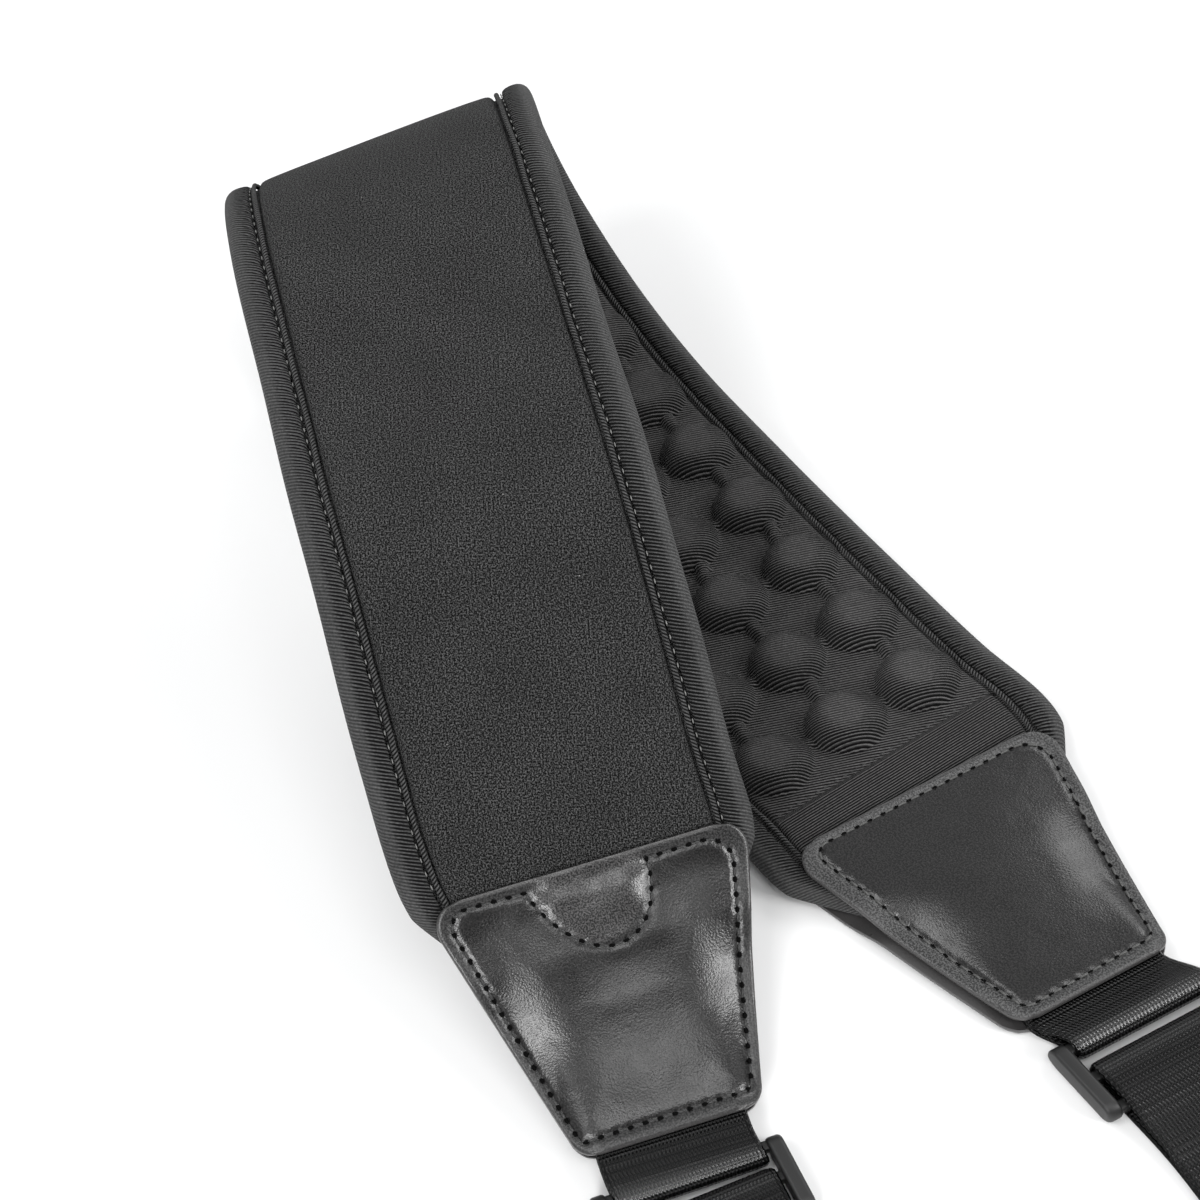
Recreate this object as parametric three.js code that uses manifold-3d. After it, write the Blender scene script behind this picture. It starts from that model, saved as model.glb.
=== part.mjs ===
// Padded bass guitar strap, folded once at its middle and laid on a table.
//
// The band is described flat first: s runs along it from end a to end b, w runs across it,
// and off is the height from its middle surface, positive towards the outer face.
// strapPoint() then lays that flat band over the fold, whose rulings all run along X.
// Each end (leather, slide, webbing, tab) is described with u, the distance outwards from
// the leather's wide edge, and up, the height above the band's middle surface.
// Lengths are millimetres and angles are degrees.

import * as THREE from 'three'
import { mergeVertices } from 'three/addons/utils/BufferGeometryUtils.js'
import Module from 'manifold-3d'

const solids = await Module()
solids.setup()

// ---------------------------------------------------------------- the padded band
const PAD_HALF_WIDTH = 44.5
const PAD_TAPER_AT = 44.9 // half width of the tapered end where it meets the leather's edge
const PAD_TAPER = 0.4 // how much half width the tapered end loses for each mm
const PAD_TAPER_ROUND = 1.2 // softness of the corner where the taper begins
const PAD_HIDDEN = 26 // how far the padded band reaches in between the leathers
const PANEL_FACE = 4.2 // outer face of a panel above the middle surface
const PANEL_SHOULDER = 3.0 // the panel's face under the binding
const PANEL_GROOVE = 2.2 // floor of the groove that the piping lies in
const PANEL_GAP = 0.3 // half the gap between the two panels
const PANEL_INSET = 1.8 // panel edge inside the pad's edge
const PANEL_RIM = 1.8 // height of the panel's upright edge
const PANEL_BEVEL = 1.3 // width of the slope from the rim up to the shoulder
const GROOVE_HALF = 1.4
const GROOVE_WALL = 0.6 // how far the panel steps back from the groove to its face
const BINDING_FACE = 4.5
const BINDING_WALL = 1.0
const BINDING_ROUND = 2.0 // how far in from the pad's edge the binding turns over
const BINDING_EDGE = 2.4 // height at which it turns down into the pad's edge
const BINDING_REACH = 7.6 // how far the binding laps over each face
const PIPING_INSET = 9.0
const PIPING_HEIGHT = 3.75
const PIPING_RADIUS = 0.95
const PIPING_SIDES = 4
const BAND_FLOOR = PIPING_HEIGHT + PIPING_RADIUS // middle surface above the table

// ---------------------------------------------------------------- the bubbles of the inner face
const BUBBLE_PITCH = 24.6
const BUBBLE_COLUMNS = 3
const BUBBLE_ROWS = 19
const BUBBLE_RADIUS = 10.5
const BUBBLE_HEIGHT = 5
const BUBBLE_STEPS = 3 // mesh cells in one pitch
const LAST_BUBBLE = 562.4 // s of the row nearest to end b

// ---------------------------------------------------------------- the leather ends
const LEATHER_LENGTH = 69
const LEATHER_HALF_WIDE = 40.3
const LEATHER_HALF_NARROW = 22.2
const LEATHER_CORNER_WIDE = 9
const LEATHER_CORNER_NARROW = 4.5
const LEATHER_THICK = 1.8
const LEATHER_CROWN = 1.8 // how far the upper leather puffs up
const LEATHER_OVER_WEBBING = 2.4 // inner face of the leather where the webbing is between
const PINCH = 0.6 // the band's thickness between the leathers, as a share of its own
// swing and skew say how far the slide and its webbing hang askew, sideways and turned.
// loose says how much further the webbing's roll stands out on one side than on the other.
const ENDS = {
  a: { edge: 83.5, out: -1, turn: 2.9, side: 1.2, swing: 0.4, skew: -0.1, loose: 0.042 },
  b: { edge: 589.6, out: 1, turn: 4.4, side: 0.4, swing: 4.2, skew: 0.01, loose: 0 },
}
const LOOSE_ABOUT = -15 // w of the line that the loose roll turns about

// ---------------------------------------------------------------- webbing, slides and end tabs
const WEBBING_HALF = 19
const WEBBING_THICK = 1.6
const WEBBING_LAYER = 1.0 // height of each layer of the stub between the leathers
const LOOP_RADIUS = 2.9 // webbing's middle round a bar
const STUB_START = 48
const BARS = [79.2, 88.4, 97.6] // u of the slide's three bars
const BAR_WIDTH = 3.0
const BAR_THICK = 2.8
const SLIDE_HALF_WIDTH = 24.2
const SLIDE_WINDOW_HALF = 20.2
const RAIL_CORNER = 1.5
const SLIDE_BEVEL = 0.5
const RAIL_THICK = 7.2 // the slide's two side rails are thicker than its bars
const RAIL_PAST_BARS = 0.6 // how far each rail's ends stand past the outer bars
const END_FLOOR = LOOP_RADIUS + WEBBING_THICK / 2 // the bars' height above the table
const TAIL_END = 150
const TAB_START = 165
const TAB_END = 245
const TAB_HALF = 20
const TAB_THICK = 2.6
const BUTTON_HOLE_AT = 226
const BUTTON_HOLE_RADIUS = 4
const BUTTON_SLIT = 15
const BUTTON_SLIT_WIDTH = 1.2
const GAP = 0.3

// ---------------------------------------------------------------- how the band lies
const SKEW = 9.0 // the band's direction against the fold's rulings
const BOW = { middle: 300, reach: 250, round: 8.6, twist: 2.6 } // sideways bend of the flat band
const LAY = [ // slope of the middle surface, by distance b from end a square to the rulings
  { b: -10, slope: 0 },
  { b: 20, slope: 16.5 },
  { b: 50, slope: 29.5 },
  { b: 80, slope: 36 },
  { b: 110, slope: 36 },
  { b: 150, slope: 27.6 },
  { b: 190, slope: 7 },
  { b: 230, slope: 7 },
  { b: 260, slope: 0 },
  { b: 280, slope: -14 },
  { b: 300, slope: -36 },
  { b: 320, slope: -62 },
  { b: 340, slope: -97 },
  { b: 365, slope: -141 },
  { b: 400, slope: -161.85 },
  { b: 440, slope: -180 },
]
const LAY_STEP = 1
const LAY_FIRST = -300
const LAY_LAST = 960
const ORIGIN = { x: 78.5, y: 65.2 } // centre of the finished strap on the table

// ---------------------------------------------------------------- finishes
const FINISHES = {
  knit: { color: 0x393939, roughness: 0.95, metalness: 0 },
  ribbed: { color: 0x3c3c3c, roughness: 0.95, metalness: 0 },
  bubble: { color: 0x3d3b3a, roughness: 0.9, metalness: 0 },
  cord: { color: 0x343434, roughness: 0.85, metalness: 0 },
  leather: { color: 0x474645, roughness: 0.5, metalness: 0 },
  webbing: { color: 0x262626, roughness: 0.6, metalness: 0 },
  plastic: { color: 0x2f2f30, roughness: 0.45, metalness: 0 },
}

const strap = new THREE.Group()

// ---------------------------------------------------------------- small mathematics
const radians = THREE.MathUtils.degToRad
const clamp = THREE.MathUtils.clamp
const lerp = THREE.MathUtils.lerp
const smooth = (x, from, to) => THREE.MathUtils.smoothstep(x, from, to)

function range(first, last, count) {
  const values = []
  for (let i = 0; i < count; i += 1) {
    values.push(lerp(first, last, i / (count - 1)))
  }
  return values
}

function slopeAt(b) {
  if (b <= LAY[0].b) return LAY[0].slope
  for (let i = 1; i < LAY.length; i += 1) {
    if (b <= LAY[i].b) {
      const before = LAY[i - 1]
      return lerp(before.slope, LAY[i].slope, (b - before.b) / (LAY[i].b - before.b))
    }
  }
  return LAY[LAY.length - 1].slope
}

// The middle surface's profile: y and z added up along b in small steps.
function layProfile() {
  const profile = [{ y: LAY_FIRST, z: BAND_FLOOR }]
  for (let b = LAY_FIRST; b < LAY_LAST; b += LAY_STEP) {
    const slope = radians(slopeAt(b + LAY_STEP / 2))
    const last = profile[profile.length - 1]
    profile.push({ y: last.y + LAY_STEP * Math.cos(slope), z: last.z + LAY_STEP * Math.sin(slope) })
  }
  return profile
}

const PROFILE = layProfile()

function layAt(b) {
  const place = (b - LAY_FIRST) / LAY_STEP
  const index = Math.floor(place)
  const share = place - index
  return {
    y: lerp(PROFILE[index].y, PROFILE[index + 1].y, share),
    z: lerp(PROFILE[index].z, PROFILE[index + 1].z, share),
    slope: radians(slopeAt(b)),
  }
}

// Distance past the nearer leather edge: negative on the open band.
const pastEdge = (s) => Math.max(ENDS.a.edge - s, s - ENDS.b.edge)

// How far the flat band bows sideways; past the leathers it runs on straight.
function bowAt(s) {
  const first = ENDS.a.edge - LEATHER_LENGTH
  const last = ENDS.b.edge + LEATHER_LENGTH
  const held = clamp(s, first, last)
  const t = (held - BOW.middle) / BOW.reach
  const slope = (2 * BOW.round * t + 3 * BOW.twist * t * t) / BOW.reach
  return BOW.round * t * t + BOW.twist * t ** 3 + slope * (s - held)
}

function strapPoint(s, w, off) {
  const side = w + bowAt(s)
  const skew = radians(SKEW)
  const across = s * Math.sin(skew) + side * Math.cos(skew)
  const lay = layAt(s * Math.cos(skew) - side * Math.sin(skew))
  return new THREE.Vector3(
    across - ORIGIN.x,
    lay.y - Math.sin(lay.slope) * off - ORIGIN.y,
    lay.z + Math.cos(lay.slope) * off,
  )
}

// Share of its own thickness that the band keeps near and between the leathers.
function pinchAt(u) {
  return lerp(1, PINCH, smooth(u, -14, 12))
}

// Inner face of the leathers, measured from the middle surface.
function leatherInside(u) {
  const overPad = BINDING_FACE * pinchAt(u) + GAP
  return lerp(overPad, LEATHER_OVER_WEBBING, smooth(u, PAD_HIDDEN, STUB_START))
}

// Height of the middle surface above the table along an end.
function restHeight(u) {
  if (u < 0) return lerp(BAND_FLOOR, leatherInside(0) + LEATHER_THICK, smooth(u, -40, 0))
  const onLeather = leatherInside(u) + LEATHER_THICK
  return lerp(onLeather, END_FLOOR, smooth(u, LEATHER_LENGTH, LEATHER_LENGTH + 8))
}

function endPoint(end, u, w, up) {
  const turn = radians(end.turn)
  const hangs = 1 - smooth(u, 104, 160)
  const along = u + end.skew * w * smooth(u, 70, 92) * hangs
  const across = w + (end.swing - end.skew * (u - BARS[0])) * smooth(u, 69, 79) * hangs
  const s = end.edge + end.out * along * Math.cos(turn) + across * Math.sin(turn)
  const side = across * Math.cos(turn) - end.out * along * Math.sin(turn) + end.side
  return strapPoint(s, side, -end.out * (up + restHeight(u) - BAND_FLOOR))
}

// The padded band between the ends: pinched, lifted and steered into each pair of leathers.
function bandPoint(s, w, off) {
  const end = pastEdge(s) === ENDS.a.edge - s ? ENDS.a : ENDS.b
  const turn = radians(end.turn)
  const u = end.out * ((s - end.edge) * Math.cos(turn) - w * Math.sin(turn))
  const steer = smooth(u, -30, 0) * (end.side - end.out * u * Math.sin(turn))
  const lift = restHeight(u) - BAND_FLOOR
  return strapPoint(s, w + steer, off * pinchAt(u) - end.out * lift)
}

// ---------------------------------------------------------------- making solids
// A solid from a row of closed sections with the same number of points, flat capped.
function loftGeometry(stations, section, place) {
  const loops = stations.map((station) => section(station))
  const count = loops[0].length
  const positions = []
  const faces = []
  stations.forEach((station, row) => {
    loops[row].forEach(([x, y]) => positions.push(...place(station, x, y).toArray()))
  })
  for (let row = 0; row + 1 < stations.length; row += 1) {
    for (let i = 0; i < count; i += 1) {
      const next = (i + 1) % count
      const a = row * count + i
      const b = row * count + next
      faces.push(a, b, a + count, b, b + count, a + count)
    }
  }
  const firstLoop = loops[0].map(([x, y]) => new THREE.Vector2(x, y))
  const lastLoop = loops[loops.length - 1].map(([x, y]) => new THREE.Vector2(x, y))
  const lastStart = (stations.length - 1) * count
  const turned = THREE.ShapeUtils.isClockWise(firstLoop)
  for (const [a, b, c] of THREE.ShapeUtils.triangulateShape(firstLoop, [])) {
    faces.push(...(turned ? [a, b, c] : [a, c, b]))
  }
  for (const [a, b, c] of THREE.ShapeUtils.triangulateShape(lastLoop, [])) {
    faces.push(...[a, turned ? c : b, turned ? b : c].map((index) => index + lastStart))
  }
  const geometry = new THREE.BufferGeometry()
  geometry.setAttribute('position', new THREE.Float32BufferAttribute(positions, 3))
  geometry.setIndex(faces)
  return geometry
}

function signedVolume(geometry) {
  const point = geometry.getAttribute('position')
  const index = geometry.getIndex()
  const corner = [new THREE.Vector3(), new THREE.Vector3(), new THREE.Vector3()]
  let volume = 0
  for (let i = 0; i < index.count; i += 3) {
    corner.forEach((vertex, k) => vertex.fromBufferAttribute(point, index.getX(i + k)))
    volume += corner[0].dot(corner[1].cross(corner[2])) / 6
  }
  return volume
}

function faceOutwards(geometry) {
  if (signedVolume(geometry) > 0) return
  const index = geometry.getIndex()
  for (let i = 0; i < index.count; i += 3) {
    const second = index.getX(i + 1)
    index.setX(i + 1, index.getX(i + 2))
    index.setX(i + 2, second)
  }
}

function addPiece(name, geometry, finish) {
  faceOutwards(geometry)
  geometry.computeVertexNormals()
  const mesh = new THREE.Mesh(geometry, new THREE.MeshStandardMaterial(FINISHES[finish]))
  mesh.name = name
  strap.add(mesh)
}

// Extrudes a flat shape drawn in (u, w), with its underside at the height bottom.
function extrude(shape, depth, bevel, bottom, curveSegments) {
  const plate = new THREE.ExtrudeGeometry(shape, {
    depth: depth - 2 * bevel,
    bevelEnabled: bevel > 0,
    bevelSize: bevel,
    bevelThickness: bevel,
    bevelOffset: -bevel,
    bevelSegments: 1,
    curveSegments,
  })
  plate.deleteAttribute('normal')
  plate.deleteAttribute('uv')
  return mergeVertices(plate.translate(0, 0, bottom + bevel), 1e-4)
}

// Lays a geometry drawn in (u, w, up) along an end.
function layOn(end, geometry) {
  const point = geometry.getAttribute('position')
  for (let i = 0; i < point.count; i += 1) {
    point.setXYZ(i, ...endPoint(end, point.getX(i), point.getY(i), point.getZ(i)).toArray())
  }
  return geometry
}

function asManifold(geometry) {
  return new solids.Manifold(new solids.Mesh({
    numProp: 3,
    vertProperties: Float32Array.from(geometry.getAttribute('position').array),
    triVerts: Uint32Array.from(geometry.getIndex().array),
  }))
}

// One closed geometry made of several overlapping ones.
function joined(geometries) {
  const mesh = solids.Manifold.union(geometries.map(asManifold)).getMesh()
  const geometry = new THREE.BufferGeometry()
  geometry.setAttribute('position', new THREE.BufferAttribute(mesh.vertProperties, 3))
  geometry.setIndex(new THREE.BufferAttribute(mesh.triVerts, 1))
  return geometry
}

// ---------------------------------------------------------------- the padded band's pieces
const bandFirst = ENDS.a.edge - PAD_HIDDEN
const bandLast = ENDS.b.edge + PAD_HIDDEN

function halfWidthAt(s) {
  const tapered = PAD_TAPER_AT - PAD_TAPER * pastEdge(s)
  const k = PAD_TAPER_ROUND
  return -k * Math.log(Math.exp(-PAD_HALF_WIDTH / k) + Math.exp(-tapered / k))
}

// Every piece of the band shares these stations, so that neighbours bend in the same facets.
const cell = BUBBLE_PITCH / BUBBLE_STEPS
const firstCell = LAST_BUBBLE - (BUBBLE_ROWS - 1) * BUBBLE_PITCH - cell
const cells = range(firstCell, LAST_BUBBLE + cell, (BUBBLE_ROWS - 1) * BUBBLE_STEPS + 3)
const endA = range(bandFirst, ENDS.a.edge + 5, 5)
const endB = range(ENDS.b.edge - 5, bandLast, 5)
const fineStations = [...endA, ...cells, ...endB]
const inFold = (s) => s > 265 && s < 415
const stations = [...endA, ...cells.filter((s, i) => i % 2 === 0 || inFold(s)), ...endB]
const openStations = [ENDS.a.edge + 1, ...stations.slice(endA.length, -endB.length), ENDS.b.edge - 1]

function panelSection(s) {
  const half = halfWidthAt(s)
  const right = [
    [half - PANEL_INSET, PANEL_GAP],
    [half - PANEL_INSET, PANEL_RIM],
    [half - PANEL_INSET - PANEL_BEVEL, PANEL_SHOULDER],
    [half - BINDING_REACH - GAP, PANEL_GROOVE],
    [half - PIPING_INSET - GROOVE_HALF, PANEL_GROOVE],
    [half - PIPING_INSET - GROOVE_HALF - GROOVE_WALL, PANEL_FACE],
  ]
  const left = right.map(([w, off]) => [-w, off]).reverse()
  const middle = range(-half + PANEL_INSET, half - PANEL_INSET, 5).slice(1, -1)
  return [...right, ...left, ...middle.map((w) => [w, PANEL_GAP])]
}

// Height of the bubbles over the inner panel's face.
function bubbleHeight(s, w) {
  const row = clamp(Math.round((LAST_BUBBLE - s) / BUBBLE_PITCH), 0, BUBBLE_ROWS - 1)
  const reach = (BUBBLE_COLUMNS - 1) / 2
  const column = clamp(Math.round(w / BUBBLE_PITCH), -reach, reach)
  const away = Math.hypot(s - (LAST_BUBBLE - row * BUBBLE_PITCH), w - column * BUBBLE_PITCH)
  return BUBBLE_HEIGHT * Math.max(0, 1 - (away / BUBBLE_RADIUS) ** 2)
}

function innerPanelSection(s) {
  const half = halfWidthAt(s)
  const cells = BUBBLE_COLUMNS * BUBBLE_STEPS
  const grooveEdge = half - PIPING_INSET - GROOVE_HALF
  const reach = Math.min((BUBBLE_COLUMNS * BUBBLE_PITCH) / 2, grooveEdge - GROOVE_WALL)
  const face = range(-reach, reach, cells + 1).map((w) => [w, -PANEL_FACE - bubbleHeight(s, w)])
  const right = [
    [grooveEdge, -PANEL_GROOVE],
    [half - BINDING_REACH - GAP, -PANEL_GROOVE],
    [half - PANEL_INSET - PANEL_BEVEL, -PANEL_SHOULDER],
    [half - PANEL_INSET, -PANEL_RIM],
    [half - PANEL_INSET, -PANEL_GAP],
  ]
  const left = right.map(([w, off]) => [-w, off]).reverse()
  const middle = range(half - PANEL_INSET, -half + PANEL_INSET, 5).slice(1, -1)
  return [...face, ...right, ...middle.map((w) => [w, -PANEL_GAP]), ...left]
}

function bindingSection(s, side) {
  const half = halfWidthAt(s)
  const upper = [
    [half - BINDING_REACH, BINDING_FACE],
    [half - BINDING_ROUND, BINDING_FACE - 0.2],
    [half - 0.3, BINDING_EDGE],
  ]
  const inside = [
    [half - BINDING_WALL - 0.2, BINDING_EDGE - 0.4],
    [half - BINDING_ROUND - 0.6, BINDING_FACE - BINDING_WALL - 0.1],
    [half - BINDING_REACH, BINDING_FACE - BINDING_WALL],
  ]
  const mirrored = (points) => points.map(([w, off]) => [w, -off]).reverse()
  const loop = [...upper, ...mirrored(upper), ...mirrored(inside), ...inside]
  return loop.map(([w, off]) => [side * w, off])
}

function pipingSection(s, side, face) {
  const loop = []
  for (let i = 0; i < PIPING_SIDES; i += 1) {
    const angle = Math.PI / 2 + (2 * Math.PI * i) / PIPING_SIDES
    const w = halfWidthAt(s) - PIPING_INSET + PIPING_RADIUS * Math.cos(angle)
    const off = PIPING_HEIGHT + PIPING_RADIUS * Math.sin(angle)
    loop.push([side * w, face * off])
  }
  return loop
}

function addBand() {
  addPiece('outer_panel', loftGeometry(stations, panelSection, bandPoint), 'knit')
  addPiece('inner_panel', loftGeometry(fineStations, innerPanelSection, bandPoint), 'bubble')
  for (const [word, side] of [['left', -1], ['right', 1]]) {
    const binding = loftGeometry(stations, (s) => bindingSection(s, side), bandPoint)
    addPiece(`edge_binding_${word}`, binding, 'ribbed')
    for (const [faceWord, face] of [['outer', 1], ['inner', -1]]) {
      const piping = loftGeometry(openStations, (s) => pipingSection(s, side, face), bandPoint)
      addPiece(`piping_${faceWord}_${word}`, piping, 'cord')
    }
  }
}

// ---------------------------------------------------------------- the leather ends
function leatherHalfAt(u) {
  const straight = lerp(LEATHER_HALF_WIDE, LEATHER_HALF_NARROW, u / LEATHER_LENGTH)
  const intoWide = Math.max(0, LEATHER_CORNER_WIDE - u)
  const intoNarrow = Math.max(0, u - LEATHER_LENGTH + LEATHER_CORNER_NARROW)
  const wide = LEATHER_CORNER_WIDE - Math.sqrt(LEATHER_CORNER_WIDE ** 2 - intoWide ** 2)
  const narrow = LEATHER_CORNER_NARROW - Math.sqrt(LEATHER_CORNER_NARROW ** 2 - intoNarrow ** 2)
  return straight - wide - narrow
}

function leatherSection(u, face, crown) {
  const half = leatherHalfAt(u)
  const puff = crown * Math.sin((Math.PI * clamp(u + 6, 0, LEATHER_LENGTH + 6)) / (LEATHER_LENGTH + 6))
  const columns = range(-1, 1, 7)
  const inside = columns.map((share) => [half * share, leatherInside(u) + puff * (1 - share ** 2)])
  const outside = inside.map(([w, up]) => [w, up + LEATHER_THICK]).reverse()
  return [...inside, ...outside].map(([w, up]) => [w, face * up])
}

function addLeather(letter) {
  const end = ENDS[letter]
  const topWord = end.out < 0 ? 'outer' : 'inner'
  const underWord = end.out < 0 ? 'inner' : 'outer'
  const corner = LEATHER_CORNER_WIDE
  const wideCorner = [0, 0.06, 0.22, 0.5, 1].map((share) => corner * share)
  const middle = range(18, LEATHER_LENGTH - LEATHER_CORNER_NARROW, 6)
  const narrowCorner = [0.45, 0.15, 0].map((share) => LEATHER_LENGTH - LEATHER_CORNER_NARROW * share)
  const stations = [...wideCorner, ...middle, ...narrowCorner]
  const place = (u, w, up) => endPoint(end, u, w, up)
  const top = loftGeometry(stations, (u) => leatherSection(u, 1, LEATHER_CROWN), place)
  const under = loftGeometry(stations, (u) => leatherSection(u, -1, 0), place)
  addPiece(`leather_${topWord}_${letter}`, top, 'leather')
  addPiece(`leather_${underWord}_${letter}`, under, 'leather')
}

// ---------------------------------------------------------------- webbing, slides and tabs
// A half turn round a bar, from below to above, with the webbing's loop towards -1 or +1.
function turnRound(bar, towards) {
  const points = []
  for (const angle of range(-90, 90, 7)) {
    const u = bar + towards * LOOP_RADIUS * Math.cos(radians(angle))
    points.push([u, LOOP_RADIUS * Math.sin(radians(angle))])
  }
  return points
}

// Outline of a strip of webbing whose middle line is the given path in (u, up).
function stripOutline(path) {
  const sideOf = (sign) => path.map(([u, up], i) => {
    const before = path[Math.max(0, i - 1)]
    const after = path[Math.min(path.length - 1, i + 1)]
    const along = new THREE.Vector2(after[0] - before[0], after[1] - before[1]).normalize()
    const half = (sign * WEBBING_THICK) / 2
    return [u - along.y * half, up + along.x * half]
  })
  return [...sideOf(1), ...sideOf(-1).reverse()]
}

function addStrip(name, end, path, loose = 0) {
  const outline = stripOutline(path)
  const widths = range(-WEBBING_HALF, WEBBING_HALF, 5)
  const slack = (u, w) => loose * (w - LOOSE_ABOUT) * smooth(u, LEATHER_LENGTH - 1, BARS[0])
  const place = (w, u, up) => endPoint(end, u + slack(u, w), w, up)
  addPiece(name, loftGeometry(widths, () => outline, place), 'webbing')
}

function addWebbing(letter) {
  const end = ENDS[letter]
  const [first, middle, third] = BARS
  const stub = [
    [STUB_START, -WEBBING_LAYER],
    [LEATHER_LENGTH - 1, -WEBBING_LAYER],
    ...turnRound(first, 1),
    [LEATHER_LENGTH - 1, WEBBING_LAYER],
    [STUB_START, WEBBING_LAYER],
  ]
  addStrip(`webbing_stub_${letter}`, end, stub, end.loose)

  const onTail = -LOOP_RADIUS + WEBBING_THICK + GAP
  const onTab = -END_FLOOR + TAB_THICK + GAP + WEBBING_THICK / 2
  const tail = [
    [TAIL_END, -LOOP_RADIUS],
    [third, -LOOP_RADIUS],
    ...turnRound(middle, -1),
    [third, LOOP_RADIUS],
    [third + 6, LOOP_RADIUS - 0.6],
    [third + 18, onTail + 0.6],
    [third + 24, onTail],
    [TAIL_END, onTail],
    [TAB_START - 4, onTab],
    [TAB_START + 24, onTab],
  ]
  addStrip(`webbing_tail_${letter}`, end, tail)
}

function roundedBox(shape, u0, u1, half, corner) {
  const r = corner
  shape.moveTo(u0 + r, -half)
  shape.lineTo(u1 - r, -half)
  shape.absarc(u1 - r, -half + r, r, -Math.PI / 2, 0)
  shape.lineTo(u1, half - r)
  shape.absarc(u1 - r, half - r, r, 0, Math.PI / 2)
  shape.lineTo(u0 + r, half)
  shape.absarc(u0 + r, half - r, r, Math.PI / 2, Math.PI)
  shape.lineTo(u0, -half + r)
  shape.absarc(u0 + r, -half + r, r, Math.PI, 1.5 * Math.PI)
  return shape
}

function addSlide(letter) {
  const edge = BAR_WIDTH / 2
  const [first, , third] = BARS
  const mid = (SLIDE_HALF_WIDTH + SLIDE_WINDOW_HALF) / 2
  const parts = BARS.map((bar) => {
    const shape = roundedBox(new THREE.Shape(), bar - edge, bar + edge, mid, 0.5)
    return extrude(shape, BAR_THICK, SLIDE_BEVEL, -BAR_THICK / 2, 1)
  })
  for (const side of [-1, 1]) {
    const shape = roundedBox(
      new THREE.Shape(), first - edge - RAIL_PAST_BARS, third + edge + RAIL_PAST_BARS,
      (SLIDE_HALF_WIDTH - SLIDE_WINDOW_HALF) / 2, RAIL_CORNER,
    )
    parts.push(extrude(shape, RAIL_THICK, SLIDE_BEVEL, -RAIL_THICK / 2, 3).translate(0, side * mid, 0))
  }
  addPiece(`slide_${letter}`, layOn(ENDS[letter], joined(parts)), 'plastic')
}

function addTab(letter) {
  const shape = new THREE.Shape()
  const nose = TAB_END - TAB_HALF
  shape.moveTo(TAB_START, -TAB_HALF)
  shape.lineTo(nose, -TAB_HALF)
  shape.absarc(nose, 0, TAB_HALF, -Math.PI / 2, Math.PI / 2)
  shape.lineTo(TAB_START, TAB_HALF)
  shape.closePath()
  const hole = new THREE.Path()
  const half = Math.asin(BUTTON_SLIT_WIDTH / 2 / BUTTON_HOLE_RADIUS)
  const slitEnd = BUTTON_HOLE_AT - BUTTON_SLIT
  hole.absarc(BUTTON_HOLE_AT, 0, BUTTON_HOLE_RADIUS, Math.PI + half, 3 * Math.PI - half)
  hole.lineTo(slitEnd, BUTTON_SLIT_WIDTH / 2)
  hole.lineTo(slitEnd, -BUTTON_SLIT_WIDTH / 2)
  hole.closePath()
  shape.holes.push(hole)
  const tab = layOn(ENDS[letter], extrude(shape, TAB_THICK, 0, -END_FLOOR, 7))
  addPiece(`end_tab_${letter}`, tab, 'leather')
}

addBand()
for (const letter of Object.keys(ENDS)) {
  addLeather(letter)
  addWebbing(letter)
  addSlide(letter)
  addTab(letter)
}

export default strap
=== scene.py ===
# %% [markdown]
# # A padded bass guitar strap
# This lesson dresses a strap that was first drawn as plain solids. The strap is a long padded
# band, folded once and laid on a table, with a leather pair, a slide, webbing and a tab at each
# end. Every cell makes one piece or one finish, and says why it is made that way.
#
# They stay hidden where a detailed piece stands for them, and they say where everything goes.
# Blender works in metres.

# %% Load the plain strap
import math

import bmesh
import bpy
import numpy as np
from mathutils import Matrix, Vector


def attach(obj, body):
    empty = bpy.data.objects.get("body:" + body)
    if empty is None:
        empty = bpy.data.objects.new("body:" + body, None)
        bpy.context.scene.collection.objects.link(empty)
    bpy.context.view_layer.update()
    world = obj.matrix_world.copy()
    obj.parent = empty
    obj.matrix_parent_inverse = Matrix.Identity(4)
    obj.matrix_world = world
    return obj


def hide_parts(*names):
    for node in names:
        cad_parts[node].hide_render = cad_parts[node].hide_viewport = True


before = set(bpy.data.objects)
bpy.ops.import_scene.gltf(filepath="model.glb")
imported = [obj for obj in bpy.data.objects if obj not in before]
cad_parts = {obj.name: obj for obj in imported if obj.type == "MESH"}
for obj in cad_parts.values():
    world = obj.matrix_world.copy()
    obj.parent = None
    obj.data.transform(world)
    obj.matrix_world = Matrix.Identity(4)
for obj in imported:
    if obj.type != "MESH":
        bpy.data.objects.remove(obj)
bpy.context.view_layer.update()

# %% [markdown]
# ## The camera
# The camera comes first, because it decides how much detail each piece needs. It looks down at
# the strap from its two ends, about 55 degrees above the table, with the picture turned a
# little. A lens longer than a normal one keeps the far fold from looking small.

# %% Camera
CAMERA_AT = Vector((-0.1125, -0.3030, 0.5943))
CAMERA_LOOKS_AT = Vector((-0.0199, 0.1036, 0.0))
CAMERA_ROLL = -0.200
LENS_MM = 78.5


def new_object(name, data):
    """Puts some data into the scene as an object."""
    made = bpy.data.objects.new(name, data)
    bpy.context.scene.collection.objects.link(made)
    return made


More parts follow.
